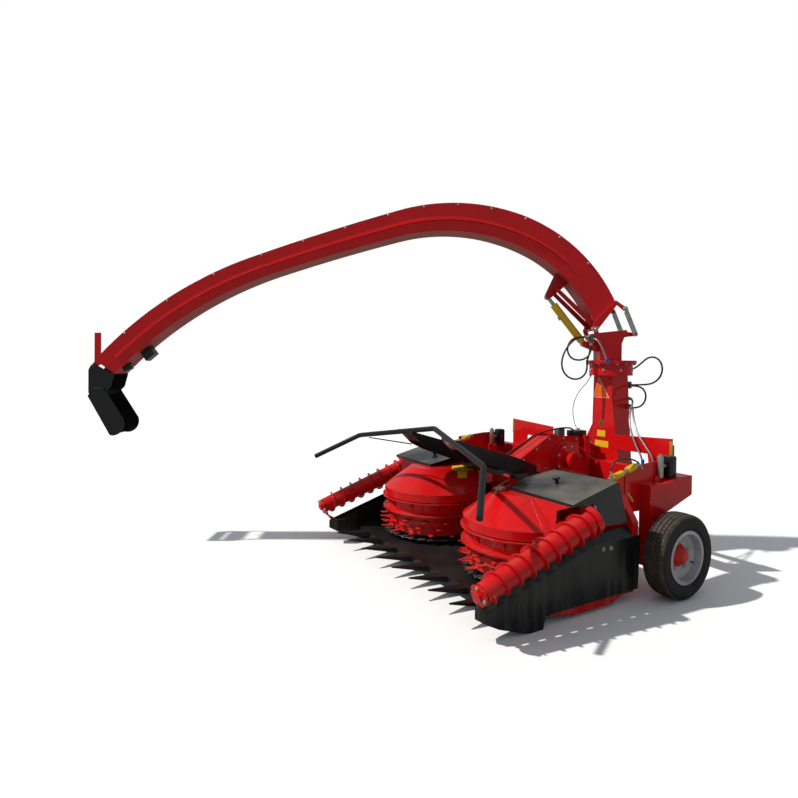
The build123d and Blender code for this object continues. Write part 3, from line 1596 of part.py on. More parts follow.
with BuildPart() as flap_lower:
    for across in (-lower_outer, lower_outer - flap_plate):
        with BuildSketch(spout_offset(across)):
            with BuildLine():
                Polyline(
                    (knuckle_s - 248, knuckle_h - 242),
                    (knuckle_s - 68, knuckle_h + 33),
                    (knuckle_s + 12, knuckle_h + 28),
                    (knuckle_s + 42, knuckle_h + 1),
                    (kink_s, kink_h),
                    (tip_low_s, tip_low_h),
                )
                ThreePointArc(
                    (tip_low_s, tip_low_h),
                    (knuckle_s - 230, knuckle_h - 347),
                    (knuckle_s - 248, knuckle_h - 242),
                )
            make_face()
            with Locations((knuckle_s, knuckle_h)):
                Circle(flap_pin_radius + pin_fit, mode=Mode.SUBTRACT)
        extrude(amount=flap_plate)
    back_angle = atan2(kink_h - tip_low_h, kink_s - tip_low_s)
    with BuildSketch(spout_offset(-lower_outer)):
        with BuildLine():
            Polyline(
                (kink_s, kink_h),
                (tip_low_s, tip_low_h),
                (tip_low_s - flap_plate * sin(back_angle), tip_low_h + flap_plate * cos(back_angle)),
                (kink_s - flap_plate * sin(back_angle), kink_h + flap_plate * cos(back_angle)),
                close=True,
            )
        make_face()
    extrude(amount=2 * lower_outer)

# Flap actuator seated under the spout's end
actuator_half = 45.0
with BuildPart() as flap_actuator:
    with BuildSketch(spout_offset(-actuator_half)):
        with BuildLine():
            Polyline(
                (mouth_low_s - 190, mouth_low_h + 190),
                (mouth_low_s - 264, mouth_low_h + 250),
                (mouth_low_s - 320, mouth_low_h + 180),
                (mouth_low_s - 244, mouth_low_h + 116),
                close=True,
            )
        make_face()
    extrude(amount=2 * actuator_half)
    with BuildSketch(spout_offset(-actuator_half - 1)):
        with BuildLine():
            draw_duct()
        make_face()
    extrude(amount=2 * actuator_half + 2, mode=Mode.SUBTRACT)

# Right-hand pieces: mirror images of the left ones
left_pieces = {
    "tyre": left_tyre,
    "rim": left_rim,
    "hub": left_hub,
    "wheel_leg": left_wheel_leg,
    "drum_hood": left_drum_hood,
    "gear_cover": left_gear_cover,
    "side_panel": left_side_panel,
    "runner": left_runner,
    "auger": left_auger,
    "auger_case": left_auger_case,
    "drum": left_drum,
    "disc": left_disc,
}
for name, left_piece in left_pieces.items():
    with BuildPart() as right_piece:
        mirror(left_piece.part, about=Plane.YZ)
    for side, piece in (("left", left_piece), ("right", right_piece)):
        piece.part.label = f"{side}_{name}"
        export_step(piece.part, f"parts/{side}_{name}.step")

middle_pieces = {
    "main_frame": main_frame,
    "header_wall": header_wall,
    "comb_floor": comb_floor,
    "crop_bar": crop_bar,
    "throat_cover": throat_cover,
    "feed_housing": feed_housing,
    "upper_roller": upper_roller,
    "lower_roller": lower_roller,
    "chopper_housing": chopper_housing,
    "discharge_tower": discharge_tower,
    "headstock": headstock,
    "gearbox": gearbox,
    "rotor": rotor,
    "rear_wings": rear_wings,
    "tail_lamps": tail_lamps,
    "slew_motor": slew_motor,
    "turret": turret,
    "hose_block": hose_block,
    "upper_hose": upper_hose,
    "lower_hose": lower_hose,
    "motor_hose": motor_hose,
    "return_hose": return_hose,
    "spout": spout,
    "spout_back": spout_back,
    "spout_belly": spout_belly,
    "stay_bars": stay_bars,
    "cylinder_barrel": cylinder_barrel,
    "cylinder_rod": cylinder_rod,
    "flap_actuator": flap_actuator,
    "flap_upper": flap_upper,
    "flap_lower": flap_lower,
}
for name, piece in middle_pieces.items():
    piece.part.label = name
    export_step(piece.part, f"parts/{name}.step")
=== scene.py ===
"""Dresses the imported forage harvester: paint, rubber, plating, tread, bolts, hoses and fittings.

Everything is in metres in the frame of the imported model: origin at the drive shaft's end,
+Y towards the tractor, +Z up, +X to the machine's left, ground at z = -0.6.
"""

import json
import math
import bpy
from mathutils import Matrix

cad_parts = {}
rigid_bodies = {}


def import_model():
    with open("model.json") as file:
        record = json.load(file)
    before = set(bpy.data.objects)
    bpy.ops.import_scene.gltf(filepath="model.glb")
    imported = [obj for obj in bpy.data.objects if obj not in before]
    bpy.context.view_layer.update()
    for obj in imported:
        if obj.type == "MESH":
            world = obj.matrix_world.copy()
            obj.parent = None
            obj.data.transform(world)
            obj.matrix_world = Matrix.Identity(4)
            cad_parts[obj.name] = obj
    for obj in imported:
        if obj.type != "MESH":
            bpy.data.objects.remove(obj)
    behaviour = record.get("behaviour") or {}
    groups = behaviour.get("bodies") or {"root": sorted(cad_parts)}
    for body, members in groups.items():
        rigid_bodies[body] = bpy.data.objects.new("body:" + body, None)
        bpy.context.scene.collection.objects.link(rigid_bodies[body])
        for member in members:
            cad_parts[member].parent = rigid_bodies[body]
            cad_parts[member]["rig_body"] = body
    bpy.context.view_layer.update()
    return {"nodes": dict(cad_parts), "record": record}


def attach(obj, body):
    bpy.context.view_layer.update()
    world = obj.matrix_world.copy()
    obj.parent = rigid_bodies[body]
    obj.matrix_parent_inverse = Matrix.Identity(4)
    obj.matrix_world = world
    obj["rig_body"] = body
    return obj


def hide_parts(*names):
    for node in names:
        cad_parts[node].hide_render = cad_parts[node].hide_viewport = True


bl_info = {
    "name": "Forage Harvester Looks",
    "version": (1, 0, 0),
    "blender": (4, 5, 0),
    "location": "3D View > Sidebar > Harvester",
    "description": "Builds the finish, fittings and stage of a mounted forage harvester",
    "category": "Object",
}

import bpy
from bpy.props import FloatProperty, FloatVectorProperty, PointerProperty
from mathutils import Matrix, Vector

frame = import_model()
NODES = frame["nodes"]

GROUND = -0.600
WELD = 0.00005
BEVEL_ANGLE, SMOOTH_ANGLE = math.radians(35), math.radians(32)


# Sizes and colours that a user would change
class PaintSettings(bpy.types.PropertyGroup):
    """Colours of the machine's finishes."""
    red: FloatVectorProperty(
        name="Red", description="Gloss paint of the machine", subtype="COLOR", size=3,
        default=(0.66, 0.0065, 0.0085),
    )
    black: FloatVectorProperty(
        name="Black", description="Sheet metal covers and points", subtype="COLOR", size=3,
        default=(0.010, 0.0105, 0.012),
    )
    yellow: FloatVectorProperty(
        name="Yellow", description="Lift cylinder and couplers", subtype="COLOR", size=3,
        default=(0.80, 0.52, 0.010),
    )
    silver: FloatVectorProperty(
        name="Silver", description="Wheel rims", subtype="COLOR", size=3, default=(0.50, 0.51, 0.55)
    )
    dust: FloatProperty(
        name="Dust", description="How much dust lies on the paint", min=0.0, max=1.0, default=0.35,
        subtype="FACTOR",
    )


class TyreSettings(bpy.types.PropertyGroup):
    """Tread of the road tyres."""
    groove_depth: FloatProperty(
        name="Groove", description="Depth of the tread", default=0.006, unit="LENGTH"
    )
    groove_width: FloatProperty(
        name="Groove width", description="Width of a groove", default=0.007, unit="LENGTH"
    )


class StageSettings(bpy.types.PropertyGroup):
    """Floor and lamps."""
    floor_size: FloatProperty(
        name="Floor size", description="Side of the floor", default=60.0, unit="LENGTH"
    )
    sun_strength: FloatProperty(name="Sun", description="Strength of the key lamp", default=3.3)
    sky_strength: FloatProperty(
        name="Sky", description="Strength of the soft light around", default=0.34
    )


# Places
SLEW = math.radians(32.0)
TOWER = (0.220, -0.352)
SPOUT_AHEAD = Vector((-math.sin(SLEW), -math.cos(SLEW), 0.0))
SPOUT_RIGHT = Vector((-math.cos(SLEW), math.sin(SLEW), 0.0))


def at(x, y, height):
    """A point given by its height above the ground."""
    return Vector((x, y, height + GROUND))


def spout_at(ahead, height, across):
    """A point given by its station ahead of the turret's axis, height above the ground and offset."""
    return at(TOWER[0], TOWER[1], height) + SPOUT_AHEAD * ahead + SPOUT_RIGHT * across


def home(node):
    """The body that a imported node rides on."""
    return NODES[node]["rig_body"]


def path(place, points):
    """Points of a route in millimetres, put into the frame by a place function."""
    return [place(*(value / 1000 for value in point)) for point in points]


def round_about(count, first, radius):
    """Offsets of points spaced evenly on a circle, the first at an angle in degrees."""
    for turn in range(count):
        angle = math.radians(first + 360 * turn / count)
        yield radius * math.cos(angle), radius * math.sin(angle)


# Mesh helpers
def deselect_all():
    """Leaves no object selected or active."""
    for obj in bpy.context.selected_objects:
        obj.select_set(False)
    bpy.context.view_layer.objects.active = None


def pick(obj):
    """Selects one object alone."""
    deselect_all()
    obj.select_set(True)
    bpy.context.view_layer.objects.active = obj
    return obj


def newest():
    """The primitive just added."""
    return bpy.context.view_layer.objects.active


def rounded(obj, width, segments=2):
    """Rounds the sharp edges of an object for good."""
    pick(obj)
    bpy.ops.object.modifier_add(type="BEVEL")
    modifier = obj.modifiers[-1]
    modifier.width = width
    modifier.segments = segments
    modifier.limit_method = "ANGLE"
    modifier.angle_limit = BEVEL_ANGLE
    modifier.harden_normals = False
    bpy.ops.object.modifier_apply(modifier=modifier.name)


def apply_place(obj):
    """Puts an object's place into its mesh."""
    pick(obj)
    bpy.ops.object.transform_apply(location=True, rotation=True, scale=True)


def settle(obj, name, look, body):
    """Names a piece, puts its place into its mesh, gives it its finish and lets it ride."""
    obj.name = name
    obj.data.name = name
    apply_place(obj)
    bpy.ops.object.shade_smooth_by_angle(angle=SMOOTH_ANGLE)
    material, slot = FINISHES[look]
    obj.data.materials.clear()
    obj.data.materials.append(material)
    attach(obj, body)
    return obj


def joined(parts):
    """Several objects made one."""
    deselect_all()
    for part in parts:
        part.select_set(True)
    bpy.context.view_layer.objects.active = parts[0]
    if len(parts) > 1:
        bpy.ops.object.join()
    return parts[0]


def box_shape(centre, size, turn=(0.0, 0.0, 0.0), edge=0.003):
    """A box with rounded edges."""
    deselect_all()
    bpy.ops.mesh.primitive_cube_add(size=1, location=centre, rotation=turn)
    obj = newest()
    obj.scale = size
    pick(obj)
    bpy.ops.object.transform_apply(location=False, rotation=False, scale=True)
    if edge > 0:
        rounded(obj, edge)
    apply_place(obj)
    return obj


def rod_shape(start, end, radius, sides=20, edge=0.0015):
    """A round or many-sided bar between two points."""
    start, end = Vector(start), Vector(end)
    way = end - start
    deselect_all()
    bpy.ops.mesh.primitive_cone_add(
        vertices=sides, radius1=radius, radius2=radius, depth=way.length, location=(start + end) / 2,
        rotation=way.to_track_quat("Z", "Y").to_euler(),
    )
    obj = newest()
    if edge > 0:
        rounded(obj, edge)
    apply_place(obj)
    return obj


def edit_at(obj, places):
    """Moves an object's vertices to the given places, then selects them all in edit mode."""
    for vertex, place in zip(obj.data.vertices, places, strict=True):
        vertex.co = place
    bpy.ops.object.mode_set(mode="EDIT")
    bpy.ops.mesh.select_all(action="SELECT")


def close_edit():
    """Faces the mesh outward and leaves edit mode."""
    bpy.ops.mesh.select_all(action="SELECT")
    bpy.ops.mesh.normals_make_consistent(inside=False)
    bpy.ops.object.mode_set(mode="OBJECT")


def plate_shape(corners, push, edge=0.001):
    """A flat plate with the given corners, pushed out to its thickness."""
    deselect_all()
    bpy.ops.mesh.primitive_circle_add(vertices=len(corners), fill_type="NGON")
    obj = newest()
    edit_at(obj, corners)
    bpy.ops.mesh.extrude_region_move(TRANSFORM_OT_translate={"value": tuple(push)})
    close_edit()
    if edge > 0:
        rounded(obj, edge, 1)
    return obj


def lathe_shape(profile, origin, axis, steps):
    """A closed section of radius and distance along the axis, spun about the axis."""
    deselect_all()
    bpy.ops.mesh.primitive_circle_add(vertices=len(profile), fill_type="NOTHING")
    obj = newest()
    edit_at(obj, [(radius, 0.0, along) for radius, along in profile])
    bpy.ops.mesh.spin(steps=steps, angle=2 * math.pi, center=(0, 0, 0), axis=(0, 0, 1))
    bpy.ops.mesh.select_all(action="SELECT")
    bpy.ops.mesh.remove_doubles(threshold=WELD)
    close_edit()
    turn = Vector(axis).to_track_quat("Z", "Y").to_matrix().to_4x4()
    obj.matrix_world = Matrix.Translation(Vector(origin)) @ turn
    return obj


def grid_shape(rows, closed):
    """A skin over rows of points; closed joins each row's ends and fills both ends."""
    deselect_all()
    bpy.ops.mesh.primitive_grid_add(x_subdivisions=len(rows[0]) - 1, y_subdivisions=len(rows) - 1)
    obj = newest()
    edit_at(obj, [point for row in rows for point in row])
    bpy.ops.mesh.remove_doubles(threshold=WELD)
    if closed:
        bpy.ops.mesh.select_all(action="DESELECT")
        bpy.ops.mesh.select_mode(type="EDGE")
        bpy.ops.mesh.select_non_manifold()
        bpy.ops.mesh.fill_holes(sides=0)
    close_edit()
    return obj


def bolt_shape(place, outward, radius=0.009):
    """A hexagon head on a washer, with its shank's end."""
    outward = Vector(outward).normalized()
    place = Vector(place)
    washer = rod_shape(place - outward * 0.002, place + outward * 0.0025, radius * 1.7, 20, 0.0008)
    head = rod_shape(
        place + outward * 0.002, place + outward * (0.003 + radius * 0.85), radius * 1.1, 6, 0.0010
    )
    shank = rod_shape(
        place + outward * radius * 0.8, place + outward * (0.003 + radius * 1.2), radius * 0.55, 12, 0.0008
    )
    return joined([washer, head, shank])


def bolts(name, places, outward, look, body, radius=0.009):
    """A set of like bolts as one piece."""
    heads = []
    for index, place in enumerate(places):
        if index == 0:
            heads.append(bolt_shape(place, outward, radius))
            continue
        copy = heads[0].copy()
        copy.data = heads[0].data.copy()
        bpy.context.scene.collection.objects.link(copy)
        copy.location = Vector(place) - Vector(places[0])
        heads.append(copy)
    for head in heads[1:]:
        apply_place(head)
    return settle(joined(heads), name, look, body)


def box(name, centre, size, look, body, turn=(0.0, 0.0, 0.0), edge=0.003):
    """A finished box."""
    return settle(box_shape(centre, size, turn, edge), name, look, body)


def rod(name, start, end, radius, look, body, sides=20, edge=0.0015):
    """A finished bar."""
    return settle(rod_shape(start, end, radius, sides, edge), name, look, body)


def plate(name, corners, push, look, body, edge=0.001):
    """A finished plate."""
    return settle(plate_shape(corners, push, edge), name, look, body)


# Node groups
def feed(tree, socket, value):
    """Gives a socket a number or a link."""
    if isinstance(value, (int, float)):
        socket.default_value = value
    else:
        tree.links.new(value, socket)


def math_node(tree, operation, first, *others):
    """A chain of math nodes over sockets or numbers."""
    for other in others:
        node = tree.nodes.new("ShaderNodeMath")
        node.operation = operation
        feed(tree, node.inputs[0], first)
        feed(tree, node.inputs[1], other)
        first = node.outputs["Value"]
    return first


def range_node(tree, value, low, high):
    """A map range node from low and high to 0 and 1, clamped."""
    node = tree.nodes.new("ShaderNodeMapRange")
    node.inputs["From Min"].default_value = low
    node.inputs["From Max"].default_value = high
    tree.links.new(value, node.inputs["Value"])
    return node.outputs["Result"]


def mix_node(tree, factor, first, second):
    """A colour mix fed by sockets."""
    node = tree.nodes.new("ShaderNodeMix")
    node.data_type = "RGBA"
    for socket, value in (("Factor", factor), ("A", first), ("B", second)):
        tree.links.new(value, node.inputs[socket])
    return node.outputs["Result"]


def noise_node(tree, vector, scale, detail=2.0):
    """A noise texture on the given coordinates; scale is a number or a socket."""
    node = tree.nodes.new("ShaderNodeTexNoise")
    node.inputs["Detail"].default_value = detail
    tree.links.new(vector, node.inputs["Vector"])
    feed(tree, node.inputs["Scale"], scale)
    return node.outputs["Fac"]


DUST_HEIGHT = 0.45
EDGE_RADIUS = 0.0035
DUST_ROUGH, WEAR_ROUGH = 0.6, 0.2
BUMP_HEIGHT = 0.001
COLOR_INPUTS = ("Color", "Shade", "Edge Color", "Dust Color")
VALUE_INPUTS = (
    "Edge", "Top Dust", "Low Dust", "Under Dust", "Patch Scale", "Grain Scale", "Rough Low", "Rough High"
)
GROUP_OUTPUTS = (("Color", "Color"), ("Roughness", "Float"), ("Height", "Float"), ("Normal", "Vector"))


def surface_group():
    """Colour that changes a little, edge wear with a painted highlight on the edges, dust on top and near
    the ground, painted reflection on top and below where a finish asks for it, and grain.
    """
    name = "Worn surface"
    found = bpy.data.node_groups.get(name)
    if found:
        return found
    tree = bpy.data.node_groups.new(name, "ShaderNodeTree")
    for label in COLOR_INPUTS + VALUE_INPUTS:
        kind = "NodeSocketColor" if label in COLOR_INPUTS else "NodeSocketFloat"
        tree.interface.new_socket(name=label, in_out="INPUT", socket_type=kind)
    for label, kind in GROUP_OUTPUTS:
        tree.interface.new_socket(name=label, in_out="OUTPUT", socket_type="NodeSocket" + kind)
    nodes, links = tree.nodes, tree.links
    given = nodes.new("NodeGroupInput").outputs
    result = nodes.new("NodeGroupOutput").inputs
    place = nodes.new("ShaderNodeTexCoord").outputs["Object"]
    patches = range_node(tree, noise_node(tree, place, given["Patch Scale"], 5.0), 0.38, 0.66)
    grain = noise_node(tree, place, given["Grain Scale"])
    chips = range_node(tree, noise_node(tree, place, 38.0, 6.0), 0.50, 0.62)
    streaks = nodes.new("ShaderNodeMapping")
    streaks.inputs["Scale"].default_value = (14.0, 14.0, 2.2)
    links.new(place, streaks.inputs["Vector"])
    streak = range_node(tree, noise_node(tree, streaks.outputs["Vector"], 1.0, 4.0), 0.45, 0.75)
    soft = nodes.new("ShaderNodeBevel")
    soft.samples = 4
    soft.inputs["Radius"].default_value = EDGE_RADIUS
    geometry = nodes.new("ShaderNodeNewGeometry")
    facing = nodes.new("ShaderNodeVectorMath")
    facing.operation = "DOT_PRODUCT"
    links.new(soft.outputs["Normal"], facing.inputs[0])
    links.new(geometry.outputs["Normal"], facing.inputs[1])
    # Edge mask from the rounded normal: the edge colour is partly chipped wear and partly a painted
    # highlight along the edges.
    edges = range_node(tree, math_node(tree, "SUBTRACT", 1.0, facing.outputs["Value"]), 0.02, 0.12)
    worn = math_node(tree, "MULTIPLY", edges, chips, given["Edge"])
    shade = mix_node(tree, patches, given["Color"], given["Shade"])
    edged = mix_node(tree, worn, shade, given["Edge Color"])
    split = nodes.new("ShaderNodeSeparateXYZ")
    links.new(place, split.inputs["Vector"])
    facing_split = nodes.new("ShaderNodeSeparateXYZ")
    links.new(geometry.outputs["Normal"], facing_split.inputs["Vector"])
    low = range_node(tree, split.outputs["Z"], GROUND + DUST_HEIGHT, GROUND)
    low = math_node(tree, "MULTIPLY", low, streak, given["Low Dust"])
    # Faces that point up take the dust colour: dust, and on the black lid also a painted sky reflection.
    top = range_node(tree, facing_split.outputs["Z"], 0.75, 0.99)
    top = math_node(tree, "MULTIPLY", top, patches, given["Top Dust"])
    # Faces that point down take the dust colour as a painted reflection of the ground.
    under = range_node(tree, facing_split.outputs["Z"], -0.55, -0.97)
    under = math_node(tree, "MULTIPLY", under, given["Under Dust"])
    # Dust together with the painted reflections on top and below.
    dust = math_node(tree, "MAXIMUM", low, top, under)
    links.new(mix_node(tree, dust, edged, given["Dust Color"]), result["Color"])
    rough = nodes.new("ShaderNodeMapRange")
    links.new(given["Rough Low"], rough.inputs["To Min"])
    links.new(given["Rough High"], rough.inputs["To Max"])
    links.new(patches, rough.inputs["Value"])
    dull_dust = math_node(tree, "MULTIPLY", dust, DUST_ROUGH)
    dull_wear = math_node(tree, "MULTIPLY", worn, WEAR_ROUGH)
    rough = math_node(tree, "ADD", rough.outputs["Result"], dull_dust, dull_wear)
    links.new(rough, result["Roughness"])
    links.new(grain, result["Height"])
    links.new(soft.outputs["Normal"], result["Normal"])
    return tree


FINISHES = {}
LOOK = {
    "metallic": 0.0, "coat": 0.0, "coat_rough": 0.08, "specular": 0.3, "grain": (220.0, 0.05), "edge": 0.6,
    "top_dust": 0.15, "low_dust": 0.3, "under_dust": 0.0, "patch": 5.0, "dust_color": (0.36, 0.29, 0.21),
}
SHADER_SOCKETS = {
    "Metallic": "metallic", "Coat Weight": "coat", "Coat Roughness": "coat_rough",
    "Specular IOR Level": "specular",
}


def add_finish(name, slot, label, color, shade, rough, **more):
    """A finish over the surface group of wear and painted light: base colour, shade of its patches and two
    roughnesses.
    """
    look = {"edge_color": color, **LOOK, **more}
    material = bpy.data.materials.new(label)
    material.use_nodes = True
    nodes, links = material.node_tree.nodes, material.node_tree.links
    shader = nodes["Principled BSDF"]
    for socket, key in SHADER_SOCKETS.items():
        shader.inputs[socket].default_value = look[key]
    worn = nodes.new("ShaderNodeGroup")
    worn.node_tree = surface_group()
    grain_scale, grain_strength = look["grain"]
    for socket, value in zip(COLOR_INPUTS, (color, shade, look["edge_color"], look["dust_color"])):
        worn.inputs[socket].default_value = (*value, 1.0)
    wear = [look[key] for key in ("edge", "top_dust", "low_dust", "under_dust", "patch")]
    values = (*wear, grain_scale, *rough)
    for socket, value in zip(VALUE_INPUTS, values, strict=True):
        worn.inputs[socket].default_value = value
    bump = nodes.new("ShaderNodeBump")
    bump.inputs["Strength"].default_value = grain_strength
    bump.inputs["Distance"].default_value = BUMP_HEIGHT
    for source, name_out, target, name_in in (
        (worn, "Color", shader, "Base Color"), (worn, "Roughness", shader, "Roughness"),
        (worn, "Height", bump, "Height"), (worn, "Normal", bump, "Normal"),
        (bump, "Normal", shader, "Normal"),
    ):
        links.new(source.outputs[name_out], target.inputs[name_in])
    FINISHES[name] = (material, slot)


def darker(color, share):
    """The colour brought down to a share of itself."""
    return tuple(channel * share for channel in color)


def make_finishes():
    """Makes all finishes: name, the record's slot, label, colour, shade, roughnesses and the rest."""
    paint = bpy.context.scene.harvester_paint
    red, black = tuple(paint.red), tuple(paint.black)
    yellow, silver = tuple(paint.yellow), tuple(paint.silver)
    dust = paint.dust
    # The brighter orange-red edge colour is partly chipped wear and partly a painted highlight on the
    # edges.
    add_finish(
        "red_paint", "red_paint", "Red gloss paint", red, darker(red, 0.88), (0.16, 0.26),
        grain=(150.0, 0.04), edge_color=(0.80, 0.10, 0.07), top_dust=dust * 0.5, low_dust=dust * 1.2,
        coat=0.22, coat_rough=0.05, specular=0.22,
    )
    # The darker red base is painted shade on the underside, and its brown under colour is a painted
    # reflection of the ground.
    add_finish(
        "belly_red", "red_paint", "Dusty red underside", darker(red, 0.8), darker(red, 0.6),
        (0.30, 0.45), grain=(120.0, 0.08), dust_color=(0.33, 0.17, 0.14), under_dust=0.75, top_dust=0.0,
        coat=0.05, specular=0.2,
    )
    add_finish(
        "black_sheet", "black_sheet", "Black satin paint", black, darker(black, 0.7), (0.24, 0.36),
        grain=(180.0, 0.06), edge_color=(0.10, 0.10, 0.10), dust_color=(0.20, 0.19, 0.155),
        top_dust=1.25 * dust, low_dust=1.1 * dust, coat=0.12, coat_rough=0.2, specular=0.32, patch=3.0,
    )
    # The lid's heavy top colour is dust together with a painted sky reflection on its top faces.
    add_finish(
        "lid_black", "black_sheet", "Black cover paint", black, darker(black, 0.8), (0.16, 0.26),
        grain=(180.0, 0.05), edge_color=(0.16, 0.16, 0.15), dust_color=(0.24, 0.23, 0.185),
        top_dust=0.85, low_dust=dust, coat=0.25, coat_rough=0.12, specular=0.4, patch=2.2,
    )
    add_finish(
        "comb_black", "black_sheet", "Black comb paint", black, darker(black, 0.7), (0.26, 0.38),
        grain=(180.0, 0.06), edge_color=(0.14, 0.14, 0.14), dust_color=(0.10, 0.09, 0.075),
        top_dust=0.35 * dust, low_dust=0.3 * dust, coat=0.1, coat_rough=0.2, specular=0.32, patch=3.0,
    )
    add_finish(
        "yellow_paint", "yellow_paint", "Yellow paint", yellow, darker(yellow, 0.85), (0.25, 0.4),
        grain=(180.0, 0.05), coat=0.2, edge_color=(0.55, 0.50, 0.40),
    )
    add_finish(
        "sticker_yellow", "yellow_paint", "Yellow film", (0.86, 0.56, 0.012), (0.80, 0.50, 0.012),
        (0.35, 0.5), grain=(300.0, 0.02), edge=0.2, top_dust=0.05,
    )
    add_finish(
        "sticker_orange", "yellow_paint", "Orange film", (0.85, 0.145, 0.006), (0.78, 0.12, 0.006),
        (0.35, 0.5), edge=0.2,
    )
    add_finish(
        "sticker_pale", "silver_paint", "Pale reflecting film", (0.85, 0.55, 0.45), (0.80, 0.50, 0.42),
        (0.3, 0.4), edge=0.1,
    )
    add_finish(
        "sticker_green", "rubber", "Green film", (0.02, 0.16, 0.03), (0.02, 0.13, 0.03), (0.4, 0.5),
        edge=0.1,
    )
    add_finish(
        "edging_orange", "yellow_paint", "Orange edging", (0.84, 0.24, 0.012), (0.80, 0.36, 0.015),
        (0.4, 0.55), patch=14.0,
    )
    add_finish(
        "silver_paint", "silver_paint", "Silver rim paint", silver, darker(silver, 0.75), (0.3, 0.45),
        grain=(200.0, 0.06), metallic=0.35, top_dust=0.3, low_dust=0.5, specular=0.4,
    )
    add_finish(
        "blade_steel", "blade_steel", "Worn steel", (0.18, 0.17, 0.16), (0.10, 0.075, 0.06),
        (0.35, 0.55), grain=(90.0, 0.2), metallic=0.8, patch=12.0, low_dust=0.6,
        edge_color=(0.45, 0.44, 0.42),
    )
    add_finish(
        "zinc", "zinc", "Zinc plating", (0.52, 0.52, 0.49), (0.38, 0.37, 0.32), (0.28, 0.45),
        grain=(60.0, 0.06), metallic=0.85, patch=20.0,
    )
    add_finish(
        "grey_cast", "grey_cast", "Grey casting", (0.13, 0.135, 0.14), (0.085, 0.09, 0.095), (0.5, 0.7),
        grain=(260.0, 0.4), metallic=0.2, patch=9.0,
    )
    add_finish(
        "rubber", "rubber", "Sidewall rubber", (0.017, 0.0165, 0.0165), (0.026, 0.024, 0.023),
        (0.55, 0.75), grain=(240.0, 0.3), low_dust=0.35, top_dust=0.3, patch=8.0,
        dust_color=(0.14, 0.115, 0.09), specular=0.25,
    )
    add_finish(
        "tread_rubber", "rubber", "Dusty tread", (0.085, 0.072, 0.056), (0.055, 0.048, 0.040),
        (0.8, 0.95), grain=(320.0, 0.5), low_dust=0.3, patch=22.0, dust_color=(0.14, 0.115, 0.09),
        edge=0.0, specular=0.15,
    )
    add_finish(
        "hose_rubber", "rubber", "Hose rubber", (0.012, 0.012, 0.013), (0.022, 0.022, 0.022),
        (0.35, 0.5), grain=(500.0, 0.3), edge=0.0, specular=0.4,
    )
    add_finish(
        "braid", "zinc", "Braided wire", (0.50, 0.50, 0.50), (0.22, 0.22, 0.23), (0.3, 0.5),
        grain=(700.0, 0.7), metallic=0.7, patch=260.0, edge=0.0,
    )
    add_finish(
        "blue_sleeve", "rubber", "Blue sleeve", (0.01, 0.10, 0.50), (0.01, 0.07, 0.38), (0.25, 0.4),
        edge=0.0, coat=0.2,
    )
    add_finish(
        "lamp_lens", "lamp_lens", "Red lamp lens", (0.40, 0.008, 0.008), (0.28, 0.006, 0.006),
        (0.1, 0.2), grain=(40.0, 0.3), coat=0.5,
    )
    add_finish(
        "amber_lens", "lamp_lens", "Amber lamp lens", (0.75, 0.22, 0.01), (0.6, 0.16, 0.01), (0.1, 0.2),
        grain=(40.0, 0.3), coat=0.5,
    )
    add_finish(
        "reflector", "yellow_paint", "Reflector film", (0.42, 0.26, 0.02), (0.34, 0.20, 0.02),
        (0.2, 0.3), grain=(420.0, 0.5), coat=0.4,
    )


SPECIAL_FINISHES = {
    "spout_belly": "belly_red",
    "left_gear_cover": "lid_black",
    "right_gear_cover": "lid_black",
    "comb_floor": "comb_black",
    "crop_bar": "comb_black",
    "throat_cover": "comb_black",
}


def paint_nodes():
    """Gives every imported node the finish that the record's slot names, or its own."""
    slots = {part["node"]: part["material_slot"] for part in frame["record"]["subparts"]}
    for name, obj in NODES.items():
        obj.data.materials.clear()
        obj.data.materials.append(FINISHES[SPECIAL_FINISHES.get(name, slots[name])][0])


# Hoses
def hose_curve(name, points, diameter, look, body):
    """A smooth hose whose line follows its control points."""
    data = bpy.data.curves.new(name, "CURVE")
    data.dimensions = "3D"
    spline = data.splines.new("NURBS")
    spline.points.add(len(points) - 1)
    for control, point in zip(spline.points, points):
        control.co = (*point, 1.0)
    spline.order_u = 3
    spline.use_endpoint_u = True
    spline.resolution_u = 10
    data.bevel_depth = diameter / 2
    data.bevel_resolution = 4
    data.use_fill_caps = True
    obj = bpy.data.objects.new(name, data)
    bpy.context.scene.collection.objects.link(obj)
    material, slot = FINISHES[look]
    data.materials.append(material)
    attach(obj, body)
    return obj


CAP_RADIUS, CAP_BACK, CAP_OUT = 0.0155, 0.012, 0.030
SLEEVE_RADIUS, SLEEVE_LOW, SLEEVE_HIGH = 0.0125, Vector((0, 0, 0.012)), Vector((0, 0, 0.058))


def ferrules(name, points, diameter, body):
    """Crimped sleeves and nuts at a hose's two ends as one piece."""
    radius = diameter / 2
    parts = []
    for point, after in ((points[0], points[1]), (points[-1], points[-2])):
        way = (after - point).normalized()
        parts.append(rod_shape(point, point + way * 0.032, radius * 1.32, 16, 0.0012))
        parts.append(rod_shape(point - way * 0.002, point + way * 0.010, radius * 1.75, 6, 0.001))
    return settle(joined(parts), name, "zinc", body)


